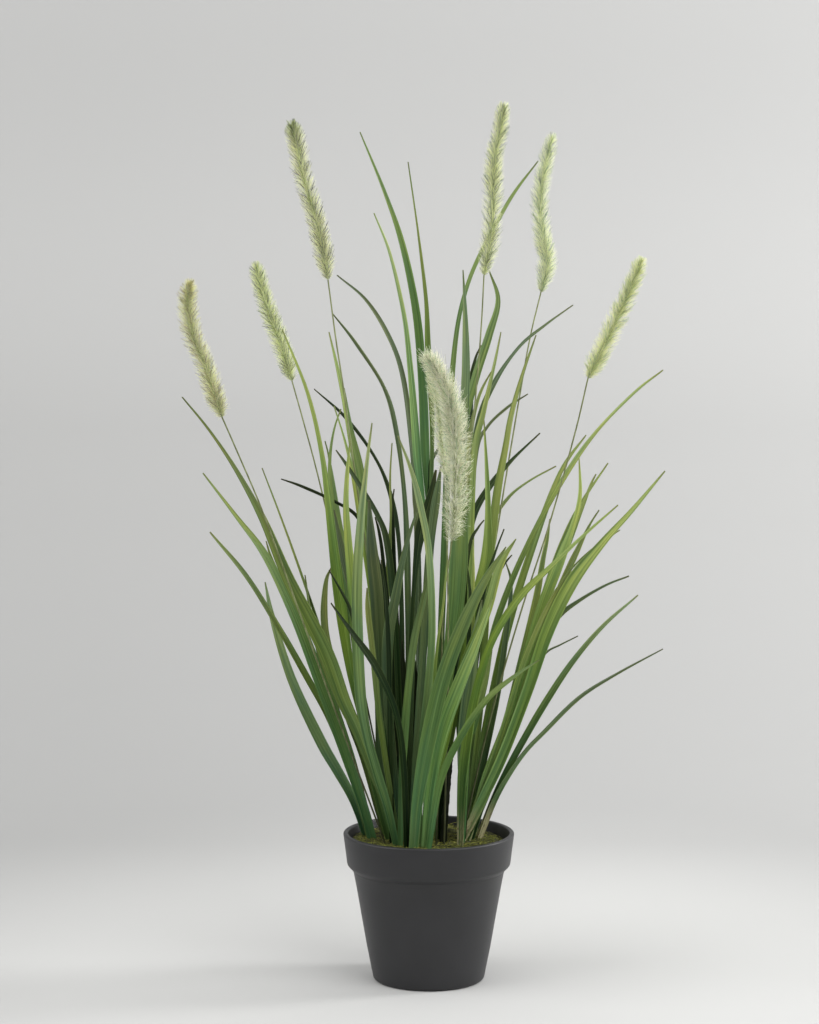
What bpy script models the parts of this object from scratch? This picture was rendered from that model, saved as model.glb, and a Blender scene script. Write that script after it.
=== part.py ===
"""Potted ornamental grass: strap leaves, wire stems and bristle plumes in a plain tapered pot.

Metres, +Z up, -Y is the front. The origin is the middle of the pot's underside.
"""

import math

import bpy
from mathutils import Vector

# Driving dimensions of the pot
RIM_DIAMETER = 0.155
POT_HEIGHT = 0.135
BAND_HEIGHT = 0.028
BAND_TAPER = 0.0032
LIP_WIDTH = 0.0045
LIP_ROUNDING = 0.0018
STEP_WIDTH = 0.0058
STEP_HEIGHT = 0.006
STEP_BULGE = (0.45, 0.65)
FOOT_RADIUS = 0.051
FOOT_ROUNDING = 0.004
FOOT_SLOPE_DEGREES = 8
WALL = 0.0026
FLOOR = 0.0035

# Filling, moss and the gap kept between touching pieces
MOSS_TOP = 0.1295
MOSS_THICKNESS = 0.014
MOSS_ROUNDING = 0.004
GAP = 0.0003
TURNED_STEPS = 48
ROUNDING_STEPS = 3
MERGE_DISTANCE = 0.00001

# Leaves
LEAF_THICKNESS = 0.0006
LEAF_FOLD = 0.22
LEAF_SEGMENTS = 11
LEAF_TIP_WIDTH = 0.0007
LEAF_FOOT_GAP = 0.0005
TANGENT_STEP = 0.01

# Depth of a piece at its foot and at the top of the plant, for a rank of 1 (back) or -1 (front)
FOOT_SPREAD = 0.034
TOP_SPREAD = 0.225
DEPTH_CURVE = 1.35
PLANT_TOP = 0.80

# Stems and plumes
WIRE_RADIUS = 0.0007
WIRE_POINTS = 9
TALL_STEM_RADIUS = 0.0026
MAIN_STEM_RADIUS = 0.0034
THICK_STEM_TAPER = 0.45
PLUME_RADIUS = 0.0112
PLUME_POINTS = 9

# A plume's radius at its foot, how fast it swells from there, and where its tip starts and ends
PLUME_FOOT = 0.45
PLUME_SWELL = 3.2
PLUME_TIP_START = 0.72
PLUME_TIP_END = 1.02

# The eye of the front view: leaves and stems are laid out along its sight lines
EYE = Vector((-0.0175, -2.3533, 0.6187))
EYE_PITCH = math.radians(4.68)
VIEW_CENTRE_PX = (409.5, 512.0)
FOCAL_PX = 2627.0
METRES_PER_PX = -EYE.y / FOCAL_PX

# Each leaf, tip first: rank, turn at the foot and at the tip in degrees, then its route in the
# front view as (across, down, seen width) in pixels. The last point is the foot.
LEAVES = {
    "leaf_left_1": (-0.45, 20, 55, ((182, 397, 1), (210, 431, 2.5), (236, 470, 5), (263, 520, 8),
        (289, 580, 12), (325, 650, 16), (343, 700, 15), (357, 730, 11.5), (365, 750, 10),
        (376, 780, 9), (384, 800, 8), (391, 821, 7), (396, 843, 6))),
    "leaf_left_2": (-0.18, -15, -45, ((203, 473, 1), (236, 516, 3.5), (266, 556, 7), (295, 615, 10),
        (320, 680, 12), (338, 728, 13), (349, 760, 12), (359, 793, 9), (366, 815, 9), (373, 839, 9))),
    "leaf_left_3": (0.06, -40, -60, ((210, 532, 1), (247, 577, 4), (281, 631, 5), (308, 679, 5.5),
        (331, 722, 6), (354, 780, 6), (371, 837, 5))),
    "leaf_left_4": (0.22, -20, 10, ((265, 582, 1), (273, 620, 6), (292, 680, 9), (320, 740, 11),
        (337, 770, 10), (350, 793, 8.5), (358, 812, 7.5), (367, 835, 6))),
    "leaf_left_5": (0.34, 15, 40, ((262, 468, 1), (283, 523, 2), (304, 582, 2.5), (324, 642, 3),
        (344, 710, 3.5), (360, 752, 4.5), (371, 785, 6), (378, 810, 7), (387, 839, 6))),
    "leaf_mid_left_1": (0.27, 15, 40, ((282, 329, 1), (308, 394, 3.5), (322, 455, 5), (330, 520, 8),
        (340, 600, 12), (350, 668, 9), (361, 712, 9), (369, 746, 7), (380, 777, 8), (387, 800, 6),
        (395, 838, 5))),
    "leaf_mid_left_2": (0.45, -25, -40, ((329, 332, 1), (343, 392, 4.5), (352, 448, 5),
        (364, 510, 6), (373, 590, 7), (380, 690, 7), (385, 770, 7), (389, 836, 6))),
    "leaf_mid_left_3": (0.88, 50, 60, ((314, 389, 1), (345, 417, 2.8), (374, 456, 3.5),
        (390, 493, 4), (399, 545, 4.5), (402, 640, 5), (400, 740, 5), (398, 834, 5))),
    "leaf_mid_left_4": (0.66, 40, 55, ((332, 313, 1), (357, 345, 3), (384, 388, 4), (397, 435, 4.5),
        (405, 505, 5), (408, 600, 6), (408, 720, 6), (406, 835, 5))),
    "leaf_mid_left_5": (0.98, -35, -50, ((337, 275, 1), (366, 300, 3), (390, 338, 4.5),
        (404, 382, 5), (412, 445, 5.5), (417, 520, 6), (419, 640, 6), (414, 834, 5))),
    "leaf_top_1": (0.36, -20, 15, ((374, 213, 1), (390, 254, 3), (404, 315, 4.5), (410, 365, 5.5),
        (415, 425, 8), (418, 465, 8), (424, 508, 3.5))),
    "leaf_top_2": (0.52, 18, -20, ((360, 132, 1), (384, 190, 3.5), (402, 243, 6), (416, 310, 8),
        (422, 375, 9), (425, 445, 9), (428, 507, 3.5))),
    "leaf_top_3": (0.44, 40, 20, ((408, 162, 1), (418, 232, 2), (426, 300, 4), (428, 350, 6),
        (432, 420, 5), (431, 508, 3.5))),
    "leaf_high_1": (0.6, -10, 10, ((463, 270, 1), (465, 310, 4.5), (466, 360, 8), (465, 400, 9),
        (465, 480, 9), (462, 600, 8), (451, 720, 7), (444, 785, 6), (441, 836, 6))),
    "leaf_high_2": (0.71, 25, 45, ((538, 161, 1), (510, 199, 3.5), (485, 245, 4), (468, 283, 4),
        (457, 330, 4.5), (450, 400, 6), (446, 500, 7), (441, 640, 7), (436, 835, 6))),
    "leaf_high_3": (0.92, -20, 20, ((489, 270, 1), (498, 300, 5), (489, 335, 8), (474, 383, 8.5),
        (461, 440, 9), (456, 540, 8), (457, 680, 7), (462, 770, 6), (463, 835, 6))),
    "leaf_mid_right_1": (0.66, 45, 58, ((573, 305, 1), (545, 325, 2), (519, 347, 3),
        (494, 383, 4.5), (477, 427, 5), (469, 500, 6), (468, 600, 6), (467, 720, 6), (466, 835, 5))),
    "leaf_mid_right_2": (0.3, -30, -45, ((501, 332, 1), (494, 367, 3), (483, 413, 5.5),
        (475, 450, 6), (471, 530, 7), (470, 640, 7), (463, 740, 6), (461, 790, 6), (461, 838, 5))),
    "leaf_mid_right_3": (0.19, 22, 40, ((536, 335, 1), (523, 373, 3), (511, 415, 5), (505, 450, 6),
        (496, 500, 8), (488, 575, 8), (483, 660, 7), (473, 750, 7), (461, 838, 6))),
    "leaf_mid_right_4": (0.46, 40, 50, ((540, 433, 1), (511, 461, 3), (489, 487, 6), (472, 520, 7),
        (460, 580, 7), (452, 680, 7), (442, 838, 6))),
    "leaf_mid_right_5": (-0.24, -12, 5, ((484, 420, 1), (487, 475, 4), (488, 520, 6.5),
        (486, 560, 11), (476, 600, 10), (460, 680, 9), (449, 745, 8), (441, 800, 6), (437, 840, 6))),
    "leaf_right_1": (0.04, 50, 60, ((663, 370, 1), (635, 392, 2), (595, 433, 3), (565, 476, 4),
        (530, 540, 5), (504, 600, 5), (487, 660, 5), (476, 750, 5), (464, 838, 5))),
    "leaf_right_2": (0.54, 25, 45, ((586, 435, 1), (565, 464, 3.5), (548, 502, 5.5), (525, 570, 7),
        (507, 630, 8), (493, 690, 7), (480, 760, 7), (468, 836, 6))),
    "leaf_right_3": (0.42, 18, 50, ((608, 463, 1), (581, 503, 3), (563, 540, 4), (545, 590, 5),
        (528, 650, 7), (511, 710, 8), (491, 770, 8), (471, 836, 6))),
    "leaf_right_4": (-0.12, -18, 20, ((579, 458, 1), (580, 495, 3.5), (573, 525, 5), (560, 560, 10),
        (543, 605, 11), (526, 660, 10), (508, 720, 9), (485, 780, 9), (467, 840, 6))),
    "leaf_right_5": (-0.9, 35, 50, ((618, 505, 1), (584, 535, 2.5), (550, 567, 4), (519, 598, 6),
        (491, 643, 7), (474, 700, 8), (464, 760, 9), (461, 800, 8), (460, 842, 6))),
    "leaf_right_6": (-0.42, 15, 45, ((665, 471, 1), (632, 510, 4), (604, 541, 6.5), (572, 582, 12),
        (547, 632, 12), (527, 692, 10), (503, 755, 10), (482, 800, 9), (470, 825, 8), (460, 845, 6))),
    "leaf_right_7": (0.24, 38, 55, ((638, 595, 1), (603, 626, 3.5), (571, 664, 5), (543, 706, 6),
        (521, 744, 6), (506, 773, 6), (492, 803, 5.5), (477, 838, 5))),
    "leaf_right_8": (0.1, -42, -58, ((663, 649, 1), (617, 674, 3), (579, 698, 4), (545, 731, 5),
        (526, 751, 5.5), (509, 775, 5.5), (494, 802, 5.5), (479, 837, 5))),
    "leaf_front_1": (-1.09, -20, 10, ((516, 539, 1), (500, 565, 7), (487, 610, 9), (467, 660, 10),
        (451, 710, 10), (444, 745, 9), (435, 785, 7), (429, 844, 5))),
    "leaf_front_2": (-1.38, 18, -20, ((506, 547, 1), (484, 582, 8), (462, 627, 13), (441, 685, 15),
        (427, 745, 15), (417, 805, 11), (413, 847, 9))),
    "leaf_front_3": (-1.2, -8, 15, ((492, 600, 1), (475, 645, 9), (456, 692, 13), (441, 735, 14),
        (431, 785, 11), (424, 846, 7))),
    "leaf_front_4": (-1.5, 38, 50, ((539, 660, 1), (512, 678, 3), (486, 700, 5), (460, 738, 6.5),
        (440, 783, 6), (428, 846, 5))),
    "leaf_front_5": (-0.51, 8, -15, ((459, 435, 2), (460, 500, 12), (459, 550, 18), (456, 600, 17),
        (450, 655, 13), (442, 715, 10), (432, 770, 8), (425, 842, 5))),
    "leaf_front_6": (-1.11, 14, 40, ((398, 436, 1), (411, 470, 3.5), (421, 508, 6), (429, 555, 6.5),
        (432, 630, 6.5), (428, 690, 8), (422, 745, 7), (418, 845, 5))),
    "leaf_front_7": (-0.54, -30, 5, ((418, 507, 1), (405, 550, 5), (395, 600, 9), (388, 640, 11),
        (388, 700, 9), (394, 770, 7), (402, 841, 6))),
    "leaf_front_8": (-0.84, -15, 25, ((372, 423, 1), (366, 470, 4), (360, 530, 8), (357, 600, 10),
        (360, 690, 11), (367, 735, 9), (378, 775, 9), (388, 808, 8), (397, 842, 6))),
    "leaf_front_9": (-0.03, 20, -15, ((369, 500, 2), (372, 550, 11), (377, 600, 13), (379, 660, 11),
        (380, 720, 9.5), (380.5, 760, 9), (386, 790, 7), (392, 839, 5))),
    "leaf_front_10": (-1.29, -42, -55, ((331, 603, 1), (353, 634, 4), (377, 668, 6), (396, 713, 6),
        (404, 770, 6), (407, 846, 5))),
}

# Leaves of the tall tuft spring from the tall stem's head and not from the moss
TUFT_LEAVES = ("leaf_top_1", "leaf_top_2", "leaf_top_3")

# Each plume and its stem, top first: rank, girth against the usual one, the plume's core and the
# stem's route in the front view
PLUMES = {
    "left_outer": (-0.63, 1.0, ((190, 280), (188, 305), (193, 335), (205, 365), (215, 395), (222, 417)),
        ((240, 458), (262, 510), (295, 600), (335, 710), (386, 842))),
    "left_inner": (0.62, 1.0, ((255, 262), (262, 290), (272, 320), (284, 353), (292, 381)),
        ((303, 420), (318, 476), (340, 570), (366, 700), (394, 836))),
    "left_high": (0.16, 1.0, ((291, 121), (297, 145), (304, 178), (316, 220), (323, 250), (328, 280)),
        ((336, 340), (344, 392), (356, 480), (377, 620), (410, 838))),
    "centre_high": (0.24, 1.0, ((504, 103), (500, 130), (494, 160), (493, 190), (491, 235), (484, 275)),
        ((481, 330), (475, 403), (462, 520), (450, 680), (439, 838))),
    "right_high": (0.80, 1.0, ((553, 132), (545, 168), (540, 200), (543, 238), (547, 262), (541, 292)),
        ((530, 338), (519, 400), (499, 520), (474, 680), (458, 834))),
    "right_outer": (-0.33, 1.0, ((643, 257), (631, 287), (617, 318), (600, 354), (588, 378)),
        ((575, 433), (550, 522), (520, 615), (490, 720), (461, 840))),
    "front_low": (-0.96, 1.35,
        ((427, 357), (436, 370), (446, 390), (453, 415), (456, 445), (456, 490), (452, 541)),
        ((447, 575), (443, 610), (441, 690), (439, 765), (436, 843))),
    "front_behind": (-0.75, 0.75, ((431, 366), (435, 388), (439, 415), (442, 445), (445, 475)),
        ((447, 540), (448, 600), (448, 690), (446, 770), (444, 842))),
}

# The tall tuft's stem and the short main stem, top first: rank and route in the front view
TALL_STEM = (0.44, ((427, 512), (429, 600), (430, 720), (427, 837)))
MAIN_STEM = (-0.45, ((452, 748), (449, 775), (446, 805), (443, 842)))

# Colours, roughness
POT_FINISH = ((0.047, 0.047, 0.050), 0.55)
FILLING_FINISH = ((0.20, 0.18, 0.15), 0.95)
MOSS_FINISH = ((0.075, 0.085, 0.018), 0.95)
LEAF_FINISH = ((0.10, 0.20, 0.045), 0.45)
STEM_FINISH = ((0.16, 0.19, 0.08), 0.5)
MAIN_STEM_FINISH = ((0.02, 0.035, 0.015), 0.5)
PLUME_FINISH = ((0.56, 0.63, 0.36), 0.85)


def clear_scene():
    for old in list(bpy.data.objects):
        bpy.data.objects.remove(old, do_unlink=True)


def new_collection(name):
    collection = bpy.data.collections.new(name)
    bpy.context.scene.collection.children.link(collection)
    return collection


def material(name, finish):
    colour, roughness = finish
    mat = bpy.data.materials.new(name)
    mat.use_nodes = True
    mat.diffuse_color = (*colour, 1.0)
    shader = mat.node_tree.nodes["Principled BSDF"]
    shader.inputs["Base Color"].default_value = (*colour, 1.0)
    shader.inputs["Roughness"].default_value = roughness
    shader.inputs["Metallic"].default_value = 0.0
    return mat


def on_sight_line(across, down, depth):
    """The point at y = depth that the eye sees at (across, down)."""
    ahead = depth - EYE.y
    slope = (VIEW_CENTRE_PX[1] - down) / FOCAL_PX
    rise = ahead * (slope * math.cos(EYE_PITCH) - math.sin(EYE_PITCH))
    rise /= math.cos(EYE_PITCH) + slope * math.sin(EYE_PITCH)
    distance = ahead * math.cos(EYE_PITCH) - rise * math.sin(EYE_PITCH)
    side = (across - VIEW_CENTRE_PX[0]) / FOCAL_PX * distance
    return Vector((EYE.x + side, depth, EYE.z + rise))


def depth_at(rank, height):
    """Pieces of a higher rank stay behind those of a lower one at every height."""
    climb = max(0.0, (height - MOSS_TOP) / (PLANT_TOP - MOSS_TOP))
    return rank * (FOOT_SPREAD + TOP_SPREAD * climb ** DEPTH_CURVE)


def route_points(rank, route):
    """The route's points in space, from the foot up."""
    points = []
    for across, down in reversed(route):
        flat = on_sight_line(across, down, 0.0)
        points.append(on_sight_line(across, down, depth_at(rank, flat.z)))
    return points


def smooth(values, t):
    """A Catmull-Rom curve through the values, for t from 0 to 1."""
    spans = len(values) - 1
    place = min(max(t, 0.0), 1.0) * spans
    i = min(int(place), spans - 1)
    f = place - i
    b, c = values[i], values[i + 1]
    a = values[i - 1] if i > 0 else b + (b - c)
    d = values[i + 2] if i + 2 <= spans else c + (c - b)
    return 0.5 * (
        2 * b + (c - a) * f + (2 * a - 5 * b + 4 * c - d) * f * f + (3 * b - a - 3 * c + d) * f ** 3
    )


def turned(name, profile, collection, mat):
    """A solid turned about Z from a profile of (radius, height) points."""
    mesh = bpy.data.meshes.new(name)
    edges = [(i, i + 1) for i in range(len(profile) - 1)]
    mesh.from_pydata([(radius, 0.0, height) for radius, height in profile], edges, [])
    piece = bpy.data.objects.new(name, mesh)
    collection.objects.link(piece)
    mesh.materials.append(mat)
    screw = piece.modifiers.new("Turn", "SCREW")
    screw.axis = "Z"
    screw.angle = math.tau
    screw.steps = screw.render_steps = TURNED_STEPS
    screw.use_merge_vertices = True
    screw.merge_threshold = MERGE_DISTANCE
    screw.use_smooth_shade = True
    return piece


def arc(centre, radius, start, end):
    """Points of a rounding, its angles in degrees from the radial direction."""
    points = []
    for i in range(ROUNDING_STEPS + 1):
        angle = math.radians(start + (end - start) * i / ROUNDING_STEPS)
        points.append((centre[0] + radius * math.cos(angle), centre[1] + radius * math.sin(angle)))
    return points


def inner_radius(height):
    """The pot's inner wall: steep inside the body, wider inside the band."""
    rim = RIM_DIAMETER / 2
    step_z = POT_HEIGHT - BAND_HEIGHT - STEP_HEIGHT
    step_r = rim - BAND_TAPER - STEP_WIDTH - WALL
    if height >= step_z:
        share = (height - step_z) / (POT_HEIGHT - step_z)
        return step_r + (rim - LIP_WIDTH - step_r) * share
    return FOOT_RADIUS - WALL + (step_r - FOOT_RADIUS + WALL) * height / step_z


def pot(collection):
    rim = RIM_DIAMETER / 2
    band_z = POT_HEIGHT - BAND_HEIGHT
    band_r = rim - BAND_TAPER
    step_z = band_z - STEP_HEIGHT
    step_r = band_r - STEP_WIDTH
    inner_rim = inner_radius(POT_HEIGHT)
    profile = [
        (0.0, FLOOR),
        (inner_radius(FLOOR), FLOOR),
        (inner_radius(step_z), step_z),
        (inner_radius(POT_HEIGHT - LIP_ROUNDING), POT_HEIGHT - LIP_ROUNDING),
        (inner_rim + LIP_ROUNDING, POT_HEIGHT),
    ]
    profile += arc((rim - LIP_ROUNDING, POT_HEIGHT - LIP_ROUNDING), LIP_ROUNDING, 90, 0)
    profile += [
        (band_r, band_z),
        (band_r - STEP_WIDTH * STEP_BULGE[0], band_z - STEP_HEIGHT * STEP_BULGE[1]),
        (step_r, step_z),
    ]
    foot_centre = (FOOT_RADIUS - FOOT_ROUNDING, FOOT_ROUNDING)
    profile += arc(foot_centre, FOOT_ROUNDING, -FOOT_SLOPE_DEGREES, -90)
    profile.append((0.0, 0.0))
    return turned("pot", profile, collection, material("pot_plastic", POT_FINISH))


def filling(collection):
    low = FLOOR + GAP
    high = MOSS_TOP - MOSS_THICKNESS - GAP
    step_z = POT_HEIGHT - BAND_HEIGHT - STEP_HEIGHT
    profile = [(0.0, high)]
    profile += [(inner_radius(z) - 2 * GAP, z) for z in (high, step_z, low)]
    profile.append((0.0, low))
    return turned("filling", profile, collection, material("filling_mortar", FILLING_FINISH))


def moss(collection):
    low = MOSS_TOP - MOSS_THICKNESS
    edge_z = MOSS_TOP - MOSS_ROUNDING
    edge_r = inner_radius(edge_z) - 2 * GAP
    profile = [(0.0, MOSS_TOP)]
    profile += arc((edge_r - MOSS_ROUNDING, edge_z), MOSS_ROUNDING, 90, 0)
    profile += [(inner_radius(low) - 2 * GAP, low), (0.0, low)]
    return turned("moss", profile, collection, material("moss_fibre", MOSS_FINISH))


def leaf(name, collection, mat):
    """A blade with a shallow fold along its midrib, bent from a flat grid."""
    rank, foot_turn, tip_turn, route = LEAVES[name]
    points = route_points(rank, [(across, down) for across, down, seen in route])
    if name not in TUFT_LEAVES:
        points[0].z = MOSS_TOP + LEAF_FOOT_GAP
    widths = [seen * METRES_PER_PX for across, down, seen in reversed(route)]
    bpy.ops.mesh.primitive_grid_add(x_subdivisions=2, y_subdivisions=LEAF_SEGMENTS, size=2.0)
    piece = bpy.context.object
    piece.name = piece.data.name = name
    for vertex in piece.data.vertices:
        side, t = round(vertex.co.x), (vertex.co.y + 1.0) / 2.0
        along = (smooth(points, t + TANGENT_STEP) - smooth(points, t - TANGENT_STEP)).normalized()
        across = Vector((0.0, 1.0, 0.0)).cross(along).normalized()
        outward = across.cross(along)
        turn = math.radians(foot_turn + (tip_turn - foot_turn) * t)
        seen = max(smooth(widths, t), LEAF_TIP_WIDTH)
        half = 0.5 * seen / math.cos(turn)
        out = across * math.cos(turn) + outward * math.sin(turn)
        back = out.cross(along)
        vertex.co = smooth(points, t) + out * half * side - back * half * LEAF_FOLD * (1 - abs(side))
        if t == 0.0 and name not in TUFT_LEAVES:
            vertex.co.z = points[0].z
    solid = piece.modifiers.new("Thickness", "SOLIDIFY")
    solid.thickness = LEAF_THICKNESS
    solid.offset = 0.0
    piece.data.materials.append(mat)
    piece.data.shade_smooth()
    move_to(piece, collection)
    return piece


def move_to(piece, collection):
    for old in list(piece.users_collection):
        old.objects.unlink(piece)
    collection.objects.link(piece)


def tube(name, points, radii, sides_resolution, collection, mat):
    """A closed round tube through the points, each with its own radius."""
    curve = bpy.data.curves.new(name, "CURVE")
    curve.dimensions = "3D"
    curve.bevel_depth = 1.0
    curve.bevel_resolution = sides_resolution
    curve.use_fill_caps = True
    spline = curve.splines.new("POLY")
    spline.points.add(len(points) - 1)
    for target, place, radius in zip(spline.points, points, radii):
        target.co = (*place, 1.0)
        target.radius = radius
    spline.use_smooth = True
    curve.materials.append(mat)
    piece = bpy.data.objects.new(name, curve)
    collection.objects.link(piece)
    return piece


def sampled(points, count):
    return [smooth(points, i / (count - 1)) for i in range(count)]


def plume_and_stem(name, collection, plume_mat, stem_mat):
    """The plume's solid reaches its bristles' tips. The wire stem ends just under it."""
    rank, girth, core, route = PLUMES[name]
    spine = route_points(rank, core)
    radii = []
    for i in range(PLUME_POINTS):
        t = i / (PLUME_POINTS - 1)
        swell = min(1.0, PLUME_FOOT + PLUME_SWELL * t)
        into_tip = max(0.0, (t - PLUME_TIP_START) / (PLUME_TIP_END - PLUME_TIP_START))
        radii.append(PLUME_RADIUS * girth * swell * math.sqrt(1.0 - into_tip ** 2))
    tube("plume_" + name, sampled(spine, PLUME_POINTS), radii, 2, collection, plume_mat)
    joint = spine[0] - (spine[1] - spine[0]).normalized() * GAP
    wire = route_points(rank, route) + [joint]
    wire[0].z = MOSS_TOP + WIRE_RADIUS
    tube("stem_" + name, sampled(wire, WIRE_POINTS), [WIRE_RADIUS] * WIRE_POINTS, 1, collection, stem_mat)


def thick_stem(name, setting, radius, collection, mat):
    rank, route = setting
    points = route_points(rank, route)
    points[0].z = MOSS_TOP + radius
    count = len(points)
    radii = [radius * (1.0 - THICK_STEM_TAPER * i / (count - 1)) for i in range(count)]
    tube(name, points, radii, 2, collection, mat)


def main():
    clear_scene()
    parts = new_collection("potted_ornamental_grass")
    pot(parts)
    filling(parts)
    moss(parts)
    leaf_mat = material("leaf_green", LEAF_FINISH)
    stem_mat = material("stem_olive", STEM_FINISH)
    dark_mat = material("main_stem_green", MAIN_STEM_FINISH)
    plume_mat = material("plume_bristle", PLUME_FINISH)
    for name in LEAVES:
        leaf(name, parts, leaf_mat)
    for name in PLUMES:
        plume_and_stem(name, parts, plume_mat, stem_mat)
    thick_stem("tall_stem", TALL_STEM, TALL_STEM_RADIUS, parts, dark_mat)
    thick_stem("main_stem", MAIN_STEM, MAIN_STEM_RADIUS, parts, dark_mat)


if __name__ == "__main__":
    main()
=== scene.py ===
import math

import bpy
import numpy as np
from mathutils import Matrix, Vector, noise


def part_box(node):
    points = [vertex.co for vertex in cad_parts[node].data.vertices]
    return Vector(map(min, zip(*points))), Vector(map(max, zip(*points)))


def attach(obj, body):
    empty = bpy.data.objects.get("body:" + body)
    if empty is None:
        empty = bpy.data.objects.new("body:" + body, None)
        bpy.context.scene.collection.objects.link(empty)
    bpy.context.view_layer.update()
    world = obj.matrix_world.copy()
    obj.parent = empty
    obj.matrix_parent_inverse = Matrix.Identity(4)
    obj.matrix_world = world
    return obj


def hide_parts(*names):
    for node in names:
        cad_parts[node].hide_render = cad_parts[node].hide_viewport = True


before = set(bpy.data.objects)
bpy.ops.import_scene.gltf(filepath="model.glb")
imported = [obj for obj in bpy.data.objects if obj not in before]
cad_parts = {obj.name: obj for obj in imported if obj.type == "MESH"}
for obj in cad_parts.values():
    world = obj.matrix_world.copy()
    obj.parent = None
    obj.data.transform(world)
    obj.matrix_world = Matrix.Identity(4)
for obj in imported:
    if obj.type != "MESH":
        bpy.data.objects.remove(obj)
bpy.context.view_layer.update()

bl_info = {
    "name": "Potted ornamental grass",
    "version": (1, 0, 0),
    "blender": (4, 5, 0),
    "location": "View3D > Sidebar > Grass",
    "description": "Builds the finish of an artificial grass with bristle plumes in a tapered pot",
    "category": "Object",
}

BODY = "root"

# The pot's places, read from the frame
POT_LOW, POT_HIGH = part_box("pot")
MOSS_LOW, MOSS_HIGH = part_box("moss")
RIM_RADIUS = POT_HIGH.x
POT_HEIGHT = POT_HIGH.z
MOSS_TOP = MOSS_HIGH.z
MOSS_RADIUS = MOSS_HIGH.x

# The eye of the front view: leaves, stems and plumes are laid out along its sight lines
EYE = Vector((-0.0175, -2.3533, 0.6187))
EYE_PITCH = math.radians(4.68)
VIEW_CENTRE_PX = (409.5, 512.0)
VIEW_HEIGHT_PX = 1024
FOCAL_PX = 2627.0
METRES_PER_PX = -EYE.y / FOCAL_PX

# Depth of a piece at its foot and at the top of the plant, for a rank of 1 (back) or -1 (front)
FOOT_SPREAD = 0.034
TOP_SPREAD = 0.225
DEPTH_CURVE = 1.35
PLANT_TOP = 0.80

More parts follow.
